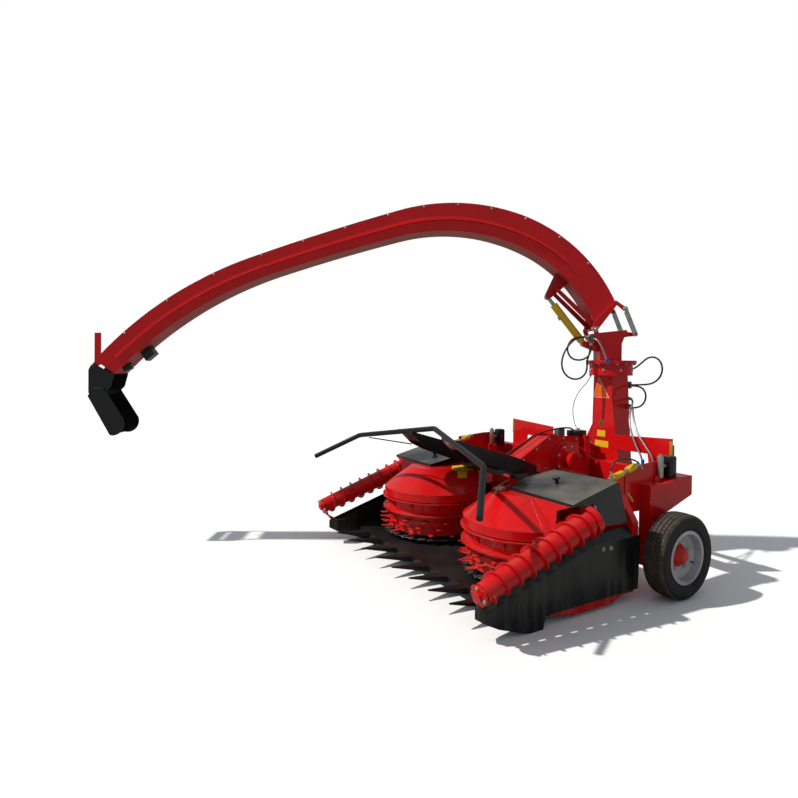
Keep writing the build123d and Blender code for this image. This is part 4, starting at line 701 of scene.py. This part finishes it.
# Name, replaced node, body, diameter, length, finish, far end, stiffness, lay, place and route in mm
HOSES = (
    (
        "motor_hose_line", "motor_hose", "chassis", 0.015, 0.842, "hose_rubber", "object", "stiff",
        "loose", at,
        (
            (220, -150, 1550), (220, -60, 1550), (250, 2, 1596), (308, 14, 1654), (385, 8, 1668),
            (453, 2, 1630), (484, -8, 1556), (464, -20, 1479), (402, -32, 1430), (335, -52, 1418),
            (285, -110, 1416), (285, -176, 1416),
        ),
    ),
    (
        "return_hose_line", "return_hose", "chassis", 0.015, 0.416, "hose_rubber", "object", "stiff",
        "loose", at,
        (
            (324, -211, 1412), (410, -211, 1412), (476, -222, 1362), (486, -240, 1282),
            (432, -262, 1222), (336, -262, 1222),
        ),
    ),
    (
        "upper_hose_line", "upper_hose", "turret_body", 0.015, 0.601, "hose_rubber", "object", "stiff",
        "loose", spout_at,
        (
            (232, 1829, -93), (330, 1829, -93), (392, 1783, -93), (408, 1706, -92), (368, 1638, -91),
            (290, 1625, -90), (225, 1655, -89), (198, 1718, -88), (198, 1786, -88),
        ),
    ),
    (
        "lower_hose_line", "lower_hose", "turret_body", 0.015, 0.952, "hose_rubber", "object", "stiff",
        "loose", spout_at,
        (
            (232, 1829, -120), (318, 1829, -120), (392, 1768, -120), (440, 1690, -118), (460, 1603, -113),
            (438, 1518, -104), (367, 1462, -95), (283, 1469, -85), (228, 1530, -75), (228, 1630, -66),
            (198, 1700, -57), (198, 1786, -57),
        ),
    ),
    ("feed_hose", None, "chassis", 0.014, 0.893, "hose_rubber", "object", "medium", "loose", at, (
        (100, -655, 985), (100, -670, 1035), (100, -760, 1052), (100, -900, 1045), (98, -1060, 1024),
        (90, -1200, 965), (70, -1330, 895), (40, -1410, 835), (30, -1425, 780),
    )),
    ("gauge_cable", None, "chassis", 0.006, 0.641, "hose_rubber", "object", "medium", "loose", at, (
        (52, -400, 1502), (40, -430, 1440), (0, -480, 1370), (-40, -500, 1290), (-62, -510, 1200),
        (-35, -530, 1120), (40, -590, 1060), (85, -610, 1030), (100, -612, 988),
    )),
    ("coupler_hose", None, "chassis", 0.012, 0.421, "hose_rubber", "fitting", "medium", "loose", at, (
        (985, -960, 862), (985, -985, 900), (985, -1030, 925), (985, -1120, 946), (985, -1225, 948),
        (985, -1286, 900), (985, -1278, 838),
    )),
    ("rear_hose_1", None, "chassis", 0.016, 0.734, "braid", "object", "medium", "loose", at, (
        (326, -230, 1300), (390, -262, 1290), (455, -400, 1210), (520, -486, 1080), (600, -502, 930),
        (660, -508, 850), (664, -510, 785),
    )),
    ("rear_hose_2", None, "chassis", 0.016, 0.753, "braid", "object", "medium", "loose", at, (
        (326, -250, 1240), (400, -290, 1255), (500, -420, 1180), (590, -492, 1050), (690, -505, 940),
        (756, -510, 870), (762, -512, 785),
    )),
    ("cap_hose", None, "turret_body", 0.013, 0.240, "braid", "connector", "medium", "hanging", spout_at, (
        (198, 1810, -133), (190, 1812, -170), (160, 1770, -196), (130, 1690, -212), (112, 1630, -222),
    )),
)


class HARVESTER_OT_hoses(bpy.types.Operator):
    """Lay the hydraulic hoses and the cable"""
    bl_idname = "harvester.hoses"
    bl_label = "Hoses"

    def execute(self, context):
        for name, node, body, diameter, length, look, far_end, stiffness, lay, place, route in HOSES:
            points = path(place, route)
            end = points[-1]
            line = hose_curve(name, points, diameter, look, body)
            if node:
                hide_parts(node)
            if far_end == "connector":
                way = (end - points[-2]).normalized()
                low, high = end - way * CAP_BACK, end + way * CAP_OUT
                pieces = [rod(name + "_cap", low, high, CAP_RADIUS, "blue_sleeve", body, edge=0.004)]
            else:
                pieces = [ferrules(name.removesuffix("_line") + "_ends", points, diameter, body)]
                if look == "braid":
                    low, high = end + SLEEVE_LOW, end + SLEEVE_HIGH
                    pieces.append(rod(name + "_sleeve", low, high, SLEEVE_RADIUS, "blue_sleeve", body))
        return {"FINISHED"}


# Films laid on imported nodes
def on_node(node, point, way, back=0.0):
    """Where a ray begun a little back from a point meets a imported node, or None."""
    hit, place, _, _ = NODES[node].ray_cast(point - way * back, way)
    return place.copy() if hit else None


FILM_LIFT, FILM_THICK = 0.0012, 0.0010


def film(name, corners, target, way, look, body, counts=(6, 6)):
    """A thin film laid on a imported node: a grid between four corners, cast along the given way."""
    way = Vector(way).normalized()
    corners = [Vector(corner) for corner in corners]
    rows = []
    for row in range(counts[0] + 1):
        share = row / counts[0]
        start = corners[0].lerp(corners[3], share)
        end = corners[1].lerp(corners[2], share)
        line = []
        for column in range(counts[1] + 1):
            point = start.lerp(end, column / counts[1])
            line.append((on_node(target, point, way, 0.3) or point) - way * FILM_LIFT)
        rows.append(line)
    obj = grid_shape(rows, False)
    pick(obj)
    bpy.ops.object.modifier_add(type="SOLIDIFY")
    obj.modifiers[-1].thickness = FILM_THICK
    bpy.ops.object.modifier_apply(modifier=obj.modifiers[-1].name)
    return settle(obj, name, look, body)


# Paint
class HARVESTER_OT_paint(bpy.types.Operator):
    """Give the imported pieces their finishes"""
    bl_idname = "harvester.paint"
    bl_label = "Paint"

    def execute(self, context):
        make_finishes()
        paint_nodes()
        return {"FINISHED"}


# Tyres
TYRE_X, TYRE_Y, TYRE_Z = 1.181, -0.833, -0.310
TYRE_STEPS = 360
GROOVES = (-0.044, -0.016, 0.016, 0.044)
CROWN_RADIUS, CROWN_FALL, CROWN_HALF = 0.290, 0.0035, 0.06
SIDEWALL = (
    (0.1655, 0.052), (0.183, 0.064), (0.188, 0.070), (0.204, 0.078), (0.206, 0.081), (0.212, 0.082),
    (0.232, 0.0855), (0.250, 0.0845), (0.254, 0.0855), (0.260, 0.0825), (0.271, 0.076), (0.279, 0.069),
    (0.2845, 0.064),
)
SIPE_PITCH, SIPE_EDGE, SIPE_DEPTH = 6, 0.0007, 0.0040
SHOULDER_RADIUS, SHOULDER_OUT = 0.277, 0.047
RIB_RADIUS, RIB_IN, RIB_OUT = 0.2855, 0.020, 0.040
TREAD_RADIUS = 0.273
NUT_CIRCLE = 0.092


def tyre_profile(depth, width):
    """Half sidewalls on both sides with a grooved crown between them."""
    crown = []
    for centre in GROOVES:
        top = CROWN_RADIUS - CROWN_FALL * (centre / CROWN_HALF) ** 2
        for along, radius in (
            (-width / 2, top), (-width / 4, top - depth), (width / 4, top - depth), (width / 2, top),
        ):
            crown.append((radius, centre + along))
    left = [(radius, -along) for radius, along in SIDEWALL]
    return left + crown + list(reversed(SIDEWALL))


class HARVESTER_OT_tyres(bpy.types.Operator):
    """Mould the treaded tyres"""
    bl_idname = "harvester.tyres"
    bl_label = "Tyres"

    def execute(self, context):
        settings = context.scene.harvester_tyres
        profile = tyre_profile(settings.groove_depth, settings.groove_width)
        for side, node in ((1, "left_tyre"), (-1, "right_tyre")):
            obj = lathe_shape(profile, (side * TYRE_X, TYRE_Y, TYRE_Z), (side, 0, 0), TYRE_STEPS)
            pick(obj)
            bpy.ops.object.mode_set(mode="EDIT")
            bpy.ops.mesh.select_all(action="DESELECT")
            bpy.ops.mesh.select_mode(type="FACE")
            bpy.ops.object.mode_set(mode="OBJECT")
            for face in obj.data.polygons:
                centre = face.center
                radius = math.hypot(centre.x, centre.y)
                step = int((math.atan2(centre.y, centre.x) + math.pi) * TYRE_STEPS / (2 * math.pi))
                shoulder = radius > SHOULDER_RADIUS and abs(centre.z) > SHOULDER_OUT
                rib = radius > RIB_RADIUS and RIB_IN < abs(centre.z) < RIB_OUT
                turn = step % SIPE_PITCH
                face.select = (shoulder and turn == 0) or (rib and turn == SIPE_PITCH // 2)
            bpy.ops.object.mode_set(mode="EDIT")
            bpy.ops.mesh.inset(thickness=SIPE_EDGE, depth=-SIPE_DEPTH)
            bpy.ops.object.mode_set(mode="OBJECT")
            settle(obj, node + "_rubber", "rubber", home(node))
            obj.data.materials.append(FINISHES["tread_rubber"][0])
            for face in obj.data.polygons:
                from_axis = math.hypot(face.center.y - TYRE_Y, face.center.z - TYRE_Z)
                face.material_index = int(from_axis > TREAD_RADIUS)
            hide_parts(node)
            self.fittings(side, node.replace("tyre", "rim"), node.split("_")[0])
        return {"FINISHED"}

    def fittings(self, side, rim, name):
        """Wheel nuts and valve."""
        face = side * (TYRE_X + 0.010)
        nuts = [(face, TYRE_Y + along, TYRE_Z + up) for along, up in round_about(5, 90, NUT_CIRCLE)]
        bolts(name + "_wheel_nuts", nuts, (side, 0, 0), "zinc", home(rim), 0.011)
        valve = Vector((face, TYRE_Y + 0.118, TYRE_Z - 0.060))
        rod(name + "_valve", valve, valve + Vector((side * 0.034, 0, 0)), 0.0045, "rubber", home(rim), 12)


# Spout
TOP_KNOTS = ((-0.173, 0.232), (0.681, 0.990), (1.680, 1.008), (2.972, 0.594), (4.323, -0.303))
LOW_KNOTS = ((-0.016, 0.022), (0.563, 0.662), (1.678, 0.782), (2.744, 0.464), (4.149, -0.423))
HINGE = (0.181, 1.893)
SPOUT_SIDE = 0.115
FOLD_START, FOLD_END, FOLD_DOWN, FOLD_SINK = 0.13, 0.985, 0.60, 0.002
FLARE_TIP, FLARE_MORE = 0.006, 0.009
STUD_DOWN = 0.07


def turned(vector, angle):
    """A plane vector turned by an angle."""
    return Vector((
        vector.x * math.cos(angle) - vector.y * math.sin(angle),
        vector.x * math.sin(angle) + vector.y * math.cos(angle),
    ))


def tangent_arcs(knots, start_way, steps=14):
    """Points of a chain of arcs through the knots, each tangent to the one before."""
    way = Vector(start_way).normalized()
    points = []
    for first, second in zip(knots, knots[1:]):
        first, second = Vector(first), Vector(second)
        chord = second - first
        turn = 2 * math.atan2(way.x * chord.y - way.y * chord.x, way.dot(chord))
        radius = chord.length / (2 * math.sin(turn / 2))
        centre = first + Vector((-way.y, way.x)) * radius
        for step in range(steps):
            points.append(centre + turned(first - centre, turn * step / steps))
        way = turned(way, turn)
    points.append(Vector(knots[-1]))
    return points


def spout_lines():
    """The spout's top and lower edges as stations ahead and heights above the ground."""
    shift = Vector(HINGE)
    top = [point + shift for point in tangent_arcs(TOP_KNOTS, (0.42, 0.91))]
    low = [point + shift for point in tangent_arcs(LOW_KNOTS, (0.36, 0.93))]
    return list(zip(top, low))


class HARVESTER_OT_spout(bpy.types.Operator):
    """Add the spout's side folds, bolts and flap drive"""
    bl_idname = "harvester.spout"
    bl_label = "Spout"

    def execute(self, context):
        body = "spout_body"
        lines = spout_lines()
        count = len(lines)
        for side, name in ((-1, "near"), (1, "far")):
            rows = []
            for index, (top, low) in enumerate(lines):
                share = index / (count - 1)
                if not FOLD_START < share < FOLD_END:
                    continue
                down = (low - top).normalized()
                middle = top.lerp(low, FOLD_DOWN)
                flare = FLARE_TIP + FLARE_MORE * (1 - share)
                row = []
                for offset, out in (
                    (-0.040, -FOLD_SINK), (-0.018, 0.35 * flare), (0.0, flare), (0.006, -FOLD_SINK),
                ):
                    place = middle + down * offset
                    row.append(spout_at(*place, side * (SPOUT_SIDE + out)))
                rows.append(row + row[:1])
            settle(grid_shape(rows, True), "spout_fold_" + name, "red_paint", body)
            studs = [
                spout_at(*top.lerp(low, STUD_DOWN), side * SPOUT_SIDE) for top, low in lines[5:count - 2:4]
            ]
            bolts("spout_bolts_" + name, studs, SPOUT_RIGHT * side, "zinc", body, 0.005)
        for index, (ahead, height) in enumerate(((0.181, 1.893), (-0.064, 2.066))):
            for side in (-1, 1):
                bolts(
                    f"spout_pin_{index}_{side + 1}", [spout_at(ahead, height, side * 0.150)],
                    SPOUT_RIGHT * side, "zinc", home("stay_bars") if index else "turret_body", 0.013,
                )
        box(
            "flap_drive_box", spout_at(4.250, 1.532, -0.045), (0.070, 0.060, 0.070), "black_sheet", body,
            (0, math.radians(28), math.atan2(SPOUT_AHEAD.y, SPOUT_AHEAD.x)), 0.006,
        )
        rod(
            "flap_drive_rod", spout_at(4.265, 1.532, -0.045), spout_at(4.330, 1.560, -0.045), 0.007, "zinc",
            body,
        )
        rod(
            "cylinder_port", spout_at(0.447, 1.976, 0.0), spout_at(0.462, 2.006, 0.0), 0.010, "zinc",
            home("cylinder_barrel"), 6,
        )
        return {"FINISHED"}


# Tower
TOWER_LEAN = 0.02
STRIP_Y, STRIP_TOP, STRIP_LEAN = -0.458, 1.32, 0.022
RING_RADIUS, COLLAR_RADIUS = 0.193, 0.178


class HARVESTER_OT_tower(bpy.types.Operator):
    """Add the tower's films, edge strip and turret bolts"""
    bl_idname = "harvester.tower"
    bl_label = "Tower"

    def execute(self, context):
        node = "discharge_tower"
        body = home(node)
        way = Vector((0, 1, 0))
        front = on_node(node, at(0.190, -0.900, 1.360), way)
        for name, corners, look, lift in (
            ("triangle_border", ((0.119, 1.305), (0.294, 1.305), (0.178, 1.488)), "sticker_pale", 0.0),
            ("triangle_face", ((0.130, 1.312), (0.282, 1.312), (0.178, 1.474)), "sticker_orange", 0.0011),
        ):
            shape = []
            for x, height in corners:
                point = at(x, front.y - FILM_LIFT - lift, height)
                point.y += TOWER_LEAN * (point.z - front.z)
                shape.append(point)
            plate(name, shape, way * FILM_LIFT, look, body, 0)
        for name, left, right, low, high in (
            ("upper_label", 0.174, 0.261, 0.971, 1.026),
            ("lower_label", 0.154, 0.295, 0.882, 0.937),
        ):
            corners = ((left, low), (right, low), (right, high), (left, high))
            corners = [at(x, -0.470, height) for x, height in corners]
            film(name, corners, node, way, "sticker_yellow", body)
        spot = on_node(node, at(0.213, -0.900, 1.091), way)
        rod("green_dot", spot + way * 0.001, spot - way * FILM_LIFT, 0.021, "sticker_green", body, 28, 0)
        strip = ((0.305, 1.317), (0.322, 1.300), (0.405, 0.754), (0.339, 0.744))
        strip = [at(x, STRIP_Y - STRIP_LEAN * (STRIP_TOP - height), height) for x, height in strip]
        plate("tower_edge_strip", strip, way * 0.0030, "red_paint", body)
        ring = [at(TOWER[0] + x, TOWER[1] + y, 1.5995) for x, y in round_about(16, 9, RING_RADIUS)]
        bolts("ring_bolts", ring, (0, 0, -1), "zinc", "turret_body", 0.007)
        for turn, (x, y) in enumerate(round_about(8, 20, 1.0)):
            outward = Vector((x, y, 0))
            place = at(*TOWER, 1.545) + outward * COLLAR_RADIUS
            bolts(f"collar_bolt_{turn}", [place], outward, "zinc", body, 0.007)
        rod(
            "collar_hook", at(0.062, -0.372, 1.520), at(0.040, -0.412, 1.496), 0.010, "red_paint", body, 12,
            0.003,
        )
        return {"FINISHED"}


# Feed housing
BOSS, BOSS_CIRCLE = (-0.877, 0.802), 0.112


class HARVESTER_OT_feed(bpy.types.Operator):
    """Add the bolts, brackets and edging of the feed housing"""
    bl_idname = "harvester.feed"
    bl_label = "Feed housing"

    def execute(self, context):
        body = "chassis"
        circle = round_about(8, 22.5, BOSS_CIRCLE)
        ring = [at(0.318, BOSS[0] + along, BOSS[1] + up) for along, up in circle]
        case = [
            at(0.320, y, height) for y, height in (
                (-1.270, 0.748), (-1.340, 0.832), (-1.200, 0.906), (-1.060, 0.982), (-0.900, 0.978),
                (-0.745, 0.962), (-0.740, 0.850), (-0.740, 0.758), (-1.100, 0.748),
            )
        ]
        way = Vector((-1, 0, 0))
        for name, points, radius in (("boss_bolt", ring, 0.008), ("case_bolt", case, 0.006)):
            places = [on_node("feed_housing", point, way, 0.35) for point in points]
            for index, place in enumerate(place for place in places if place):
                bolts(f"{name}_{index}", [place], -way, "zinc", body, radius)
        for name, place, size, look in (
            ("feed_bracket_1", (0.105, -0.640, 0.998), (0.10, 0.14, 0.050), "black_sheet"),
            ("feed_bracket_2", (0.060, -0.800, 1.012), (0.06, 0.07, 0.060), "grey_cast"),
        ):
            box(name, at(*place), size, look, body, edge=0.005)
        rod("feed_gland", at(0.100, -0.612, 0.990), at(0.100, -0.612, 1.040), 0.012, "zinc", body, 6)
        edging = path(at, ((229, -1500, 704), (247, -1498, 704), (310, -1718, 664), (290, -1722, 664)))
        plate("edging_strip", edging, (0, 0, 0.006), "edging_orange", body)
        return {"FINISHED"}


# Header
DRUM_X, DRUM_Y = 0.565, -1.668
HOOD_TOP, HOOD_FALL, HOOD_INNER = 0.700, 0.7534, 0.2017
LINER_INNER, LINER_OUTER, LINER_TOP, LINER_LOW = 0.220, 0.424, 0.0015, 0.0045
LINER_STEPS, LINER_FIRST, LINER_TURN = 25, -82, 4
AUGER_X, AUGER_FRONT, AUGER_REAR = 1.105, (-2.478, 0.320), (-1.640, 0.600)


class HARVESTER_OT_header(bpy.types.Operator):
    """Add the header's latches, couplers, films, bolts and liners"""
    bl_idname = "harvester.header"
    bl_label = "Header"

    def execute(self, context):
        for side, name in ((1, "left"), (-1, "right")):
            self.liner(side, name)
            self.bearing(side, name)
            self.latch(side, name)
            self.couplers(side, name)
        camera = Vector(CAMERA_PLACE)
        for name, corners in (
            ("mark_bar", ((-387, -1606, 718), (-375, -1383, 709), (-324, -1422, 671), (-341, -1639, 683))),
            ("mark_stem", ((-334, -1587, 678), (-328, -1485, 673), (-265, -1543, 626), (-274, -1630, 633))),
        ):
            corners = path(at, corners)
            seen = sum(corners, Vector()) / 4 - camera
            film(name, corners, "right_drum_hood", seen, "sticker_yellow", "chassis", (8, 10))
        for name, start, end, radius, look, sides in (
            ("cross_bar", (-0.226, -1.373, 0.716), (0.233, -1.500, 0.716), 0.011, "red_paint", 20),
            ("stay_rod", (-0.700, -2.244, 0.958), (-0.400, -2.004, 0.925), 0.005, "black_sheet", 12),
        ):
            rod(name, at(*start), at(*end), radius, look, "chassis", sides)
        return {"FINISHED"}

    def liner(self, side, name):
        """A conical liner under the hood that closes the notch at its shoulder."""
        rows = []
        for step in range(LINER_STEPS):
            angle = math.radians(LINER_FIRST + LINER_TURN * step)
            row = []
            for radius, sink in (
                (LINER_INNER, LINER_TOP), (LINER_OUTER, LINER_TOP),
                (LINER_OUTER, LINER_LOW), (LINER_INNER, LINER_LOW),
            ):
                height = HOOD_TOP - HOOD_FALL * (radius - HOOD_INNER) - sink
                across = DRUM_X + radius * math.cos(angle)
                row.append(at(side * across, DRUM_Y + radius * math.sin(angle), height))
            rows.append(row + row[:1])
        settle(grid_shape(rows, True), name + "_hood_liner", "red_paint", "chassis")

    def bearing(self, side, name):
        """Bolts of the auger's front bearing plate."""
        front = at(side * AUGER_X, *AUGER_FRONT)
        axis = (at(side * AUGER_X, *AUGER_REAR) - front).normalized()
        across = Vector((1, 0, 0))
        up = across.cross(axis)
        up = up if up.z > 0 else -up
        places = [front - axis * 0.020 + across * a + up * b for a, b in round_about(3, 90, 0.046)]
        bolts(name + "_bearing_bolts", places, -axis, "zinc", "chassis", 0.007)

    def latch(self, side, name):
        """The side panel's latch and bolts."""
        corners = [
            at(side * 1.084, y, height)
            for y, height in ((-1.580, 0.702), (-1.558, 0.704), (-1.519, 0.570), (-1.541, 0.566))
        ]
        plate(name + "_latch", corners, (side * 0.010, 0, 0), "red_paint", "chassis", 0.002)
        bolts(
            name + "_panel_bolts", [at(side * 1.080, -1.463, 0.400), at(side * 1.080, -1.390, 0.395)],
            (side, 0, 0), "zinc", "chassis", 0.009,
        )
        bolts(
            name + "_latch_bolt", [at(side * 1.094, -1.564, 0.684)], (side, 0, 0), "zinc", "chassis", 0.007
        )
        film(
            name + "_leg_film",
            [
                at(side * 0.967, y, height)
                for y, height in ((-1.088, 0.700), (-1.072, 0.700), (-1.017, 0.634), (-1.033, 0.630))
            ],
            name + "_wheel_leg", (-side, 0, 0), "sticker_yellow", "chassis", (4, 2),
        )

    def couplers(self, side, name):
        """Shut-off couplers on their bracket behind the header's wall."""
        x = 0.985 if side > 0 else -0.890
        drop = 0.0 if side > 0 else -0.010
        body = "chassis"
        first = at(x, -1.275, 0.822 + drop), at(x, -1.165, 0.848 + drop)
        second = at(x, -1.115, 0.862 + drop), at(x, -1.035, 0.885 + drop)
        way = (first[1] - first[0]).normalized()
        for part, start, end, radius, look, sides, edge in (
            ("coupler_1", *first, 0.022, "yellow_paint", 20, 0.003),
            ("coupler_2", *second, 0.024, "yellow_paint", 20, 0.003),
            ("coupler_joint", first[1] - way * 0.004, second[0] + way * 0.004, 0.013, "zinc", 6, 0.0015),
            ("coupler_tip", second[1] - way * 0.002, second[1] + way * 0.040, 0.014, "zinc", 20, 0.0015),
            ("coupler_tail", first[0] + way * 0.004, first[0] - way * 0.034, 0.013, "zinc", 20, 0.0015),
        ):
            rod(f"{name}_{part}", start, end, radius, look, body, sides, edge)
        corners = ((-1.145, 0.700), (-1.060, 0.700), (-1.050, 0.865 + drop), (-1.160, 0.845 + drop))
        corners = [at(x - side * 0.030, y, height) for y, height in corners]
        plate(name + "_coupler_bracket", corners, (side * 0.006, 0, 0), "red_paint", body)
        self.adjuster(x, side, name)

    def adjuster(self, x, side, name):
        """The screw and its box that set the wheel leg's height."""
        body = "chassis"
        for part, low, high, radius, sides in (
            ("adjuster_tube", 0.780, 0.934, 0.022, 20),
            ("adjuster_top", 0.930, 0.948, 0.012, 6),
        ):
            rod(f"{name}_{part}", at(x, -0.752, low), at(x, -0.752, high), radius, "zinc", body, sides)
        for part, across, y, height, size, look, edge in (
            ("adjuster_box", 0.0, -0.650, 0.848, (0.075, 0.084, 0.165), "black_sheet", 0.014),
            ("adjuster_arm", 0.012, -0.750, 0.700, (0.016, 0.100, 0.190), "red_paint", 0.004),
        ):
            box(f"{name}_{part}", at(x - side * across, y, height), size, look, body, edge=edge)
        rod(
            name + "_adjuster_link", at(x, -0.752, 0.860), at(x, -0.650, 0.860), 0.012, "zinc", body, 12
        )


# Rear
class HARVESTER_OT_rear(bpy.types.Operator):
    """Add the reflectors, lamp lenses, hose ports and guard at the rear"""
    bl_idname = "harvester.rear"
    bl_label = "Rear"

    def execute(self, context):
        body = "chassis"
        for side, name in ((1, "left"), (-1, "right")):
            for part, x, y, height, size, look, edge in (
                ("reflector", 0.880, -0.4712, 0.950, (0.026, 0.003, 0.120), "reflector", 0.0008),
                ("marker", 0.700, -0.461, 0.955, (0.050, 0.012, 0.070), "amber_lens", 0.004),
            ):
                box(f"{name}_{part}", at(side * x, y, height), size, look, body, edge=edge)
            places = [at(side * x, -0.464, 0.955) for x in (0.560, 0.620, 0.850)]
            bolts(name + "_wing_bolts", places, (0, 1, 0), "zinc", body, 0.008)
        for index, x in enumerate((0.664, 0.762)):
            box(
                f"hose_port_{index + 1}", at(x, -0.512, 0.778), (0.046, 0.060, 0.028), "grey_cast", body,
                edge=0.004,
            )
        for name, height in (("upper", 1.300), ("lower", 1.240)):
            start, end = at(0.312, -0.240, height), at(0.330, -0.240, height)
            rod(name + "_tower_port", start, end, 0.016, "zinc", body, 6)
        guard = [
            (0.052, -0.004), (0.086, -0.004), (0.096, 0.004), (0.100, 0.060), (0.096, 0.060),
            (0.092, 0.008), (0.052, 0.002),
        ]
        guard = lathe_shape(guard, (0, -0.055, 0), (0, 1, 0), 40)
        settle(guard, "shaft_guard", "black_sheet", body)
        return {"FINISHED"}


# Camera, floor and lamps
CAMERA_PLACE = (3.5366, -4.4550, 0.9838)
CAMERA_HEADING = math.radians(59.47)
CAMERA_DIP = math.radians(0.612)
CAMERA_ROLL = math.radians(0.558)
CAMERA_LENS = 25.53
CAMERA_SHIFT = -0.0368
SUN_WAY = (0.30, 0.62, -0.78)
SUN_COLOR, SUN_ANGLE = (1.0, 0.97, 0.92), math.radians(1.5)
SKY_COLOR, WHITE = (0.86, 0.93, 1.0, 1.0), (1.0, 1.0, 1.0, 1.0)
FLOOR_COLOR, FLOOR_Y = (0.36, 0.35, 0.34, 1.0), -1.5


def seen_mix(tree, first, second):
    """Mixes two shaders: the first lights the machine, the camera sees the second."""
    rays = tree.nodes.new("ShaderNodeLightPath").outputs
    seen = math_node(tree, "MAXIMUM", rays["Is Camera Ray"], rays["Is Transmission Ray"])
    mix = tree.nodes.new("ShaderNodeMixShader")
    tree.links.new(seen, mix.inputs["Fac"])
    tree.links.new(first, mix.inputs[1])
    tree.links.new(second, mix.inputs[2])
    return mix.outputs["Shader"]


class HARVESTER_OT_camera(bpy.types.Operator):
    """Place the camera"""
    bl_idname = "harvester.camera"
    bl_label = "Camera"

    def execute(self, context):
        data = bpy.data.cameras.new("Camera")
        camera = bpy.data.objects.new("Camera", data)
        context.scene.collection.objects.link(camera)
        data.lens = CAMERA_LENS
        data.sensor_width = 36.0
        data.shift_y = CAMERA_SHIFT
        data.clip_end = 200.0
        turn = Matrix.Rotation(CAMERA_HEADING, 4, "Z")
        dip = Matrix.Rotation(math.radians(90) - CAMERA_DIP, 4, "X")
        roll = Matrix.Rotation(CAMERA_ROLL, 4, "Z")
        camera.matrix_world = Matrix.Translation(CAMERA_PLACE) @ turn @ dip @ roll
        context.scene.camera = camera
        return {"FINISHED"}


class HARVESTER_OT_stage(bpy.types.Operator):
    """Build the floor and the lamps"""
    bl_idname = "harvester.stage"
    bl_label = "Stage"

    def execute(self, context):
        settings = context.scene.harvester_stage
        scene = context.scene
        scene.view_settings.view_transform = "Standard"
        deselect_all()
        bpy.ops.mesh.primitive_plane_add(size=settings.floor_size, location=(0, FLOOR_Y, GROUND))
        floor = newest()
        floor.name = "floor"
        ground = bpy.data.materials.new("Pale floor")
        ground.use_nodes = True
        nodes, links = ground.node_tree.nodes, ground.node_tree.links
        shader = nodes["Principled BSDF"]
        shader.inputs["Base Color"].default_value = FLOOR_COLOR
        shader.inputs["Roughness"].default_value = 0.9
        shader.inputs["Specular IOR Level"].default_value = 0.1
        pale = nodes.new("ShaderNodeBsdfDiffuse")
        pale.inputs["Color"].default_value = WHITE
        surface = seen_mix(ground.node_tree, shader.outputs["BSDF"], pale.outputs["BSDF"])
        links.new(surface, nodes["Material Output"].inputs["Surface"])
        floor.data.materials.append(ground)
        world = bpy.data.worlds.new("Soft sky")
        scene.world = world
        world.use_nodes = True
        nodes, links = world.node_tree.nodes, world.node_tree.links
        nodes.clear()
        output = nodes.new("ShaderNodeOutputWorld")
        soft, white = nodes.new("ShaderNodeBackground"), nodes.new("ShaderNodeBackground")
        soft.inputs["Color"].default_value = SKY_COLOR
        soft.inputs["Strength"].default_value = settings.sky_strength
        white.inputs["Color"].default_value = WHITE
        surface = seen_mix(world.node_tree, soft.outputs["Background"], white.outputs["Background"])
        links.new(surface, output.inputs["Surface"])
        sun_data = bpy.data.lights.new("Key lamp", "SUN")
        sun_data.energy = settings.sun_strength
        sun_data.color = SUN_COLOR
        sun_data.angle = SUN_ANGLE
        sun = bpy.data.objects.new("Key lamp", sun_data)
        scene.collection.objects.link(sun)
        sun.rotation_euler = Vector(SUN_WAY).to_track_quat("-Z", "Y").to_euler()
        return {"FINISHED"}


# Panel and registration
class HARVESTER_PT_panel(bpy.types.Panel):
    """The harvester's builders in the sidebar"""
    bl_label = "Harvester"
    bl_idname = "HARVESTER_PT_panel"
    bl_space_type = "VIEW_3D"
    bl_region_type = "UI"
    bl_category = "Harvester"

    def draw(self, context):
        paint = context.scene.harvester_paint
        for name in ("red", "black", "yellow", "silver", "dust"):
            self.layout.prop(paint, name)
        tyres = context.scene.harvester_tyres
        for name in ("groove_depth", "groove_width"):
            self.layout.prop(tyres, name)
        stage = context.scene.harvester_stage
        for name in ("floor_size", "sun_strength", "sky_strength"):
            self.layout.prop(stage, name)
        for operator in OPERATORS:
            self.layout.operator(operator.bl_idname)


OPERATORS = (
    HARVESTER_OT_camera,
    HARVESTER_OT_paint,
    HARVESTER_OT_hoses,
    HARVESTER_OT_tyres,
    HARVESTER_OT_spout,
    HARVESTER_OT_tower,
    HARVESTER_OT_feed,
    HARVESTER_OT_header,
    HARVESTER_OT_rear,
    HARVESTER_OT_stage,
)
SETTINGS = (
    ("harvester_paint", PaintSettings),
    ("harvester_tyres", TyreSettings),
    ("harvester_stage", StageSettings),
)
CLASSES = (*(group for _, group in SETTINGS), *OPERATORS, HARVESTER_PT_panel)


def register():
    """Registers the classes and the settings."""
    for item in CLASSES:
        bpy.utils.register_class(item)
    for name, group in SETTINGS:
        setattr(bpy.types.Scene, name, PointerProperty(type=group))


def unregister():
    """Removes what register added."""
    for name, _ in SETTINGS:
        delattr(bpy.types.Scene, name)
    for item in reversed(CLASSES):
        bpy.utils.unregister_class(item)


def main():
    """Builds everything in order."""
    register()
    bpy.ops.harvester.camera()
    bpy.ops.harvester.paint()
    bpy.ops.harvester.hoses()
    bpy.ops.harvester.tyres()
    bpy.ops.harvester.spout()
    bpy.ops.harvester.tower()
    bpy.ops.harvester.feed()
    bpy.ops.harvester.header()
    bpy.ops.harvester.rear()
    bpy.ops.harvester.stage()


if __name__ == "__main__":
    main()
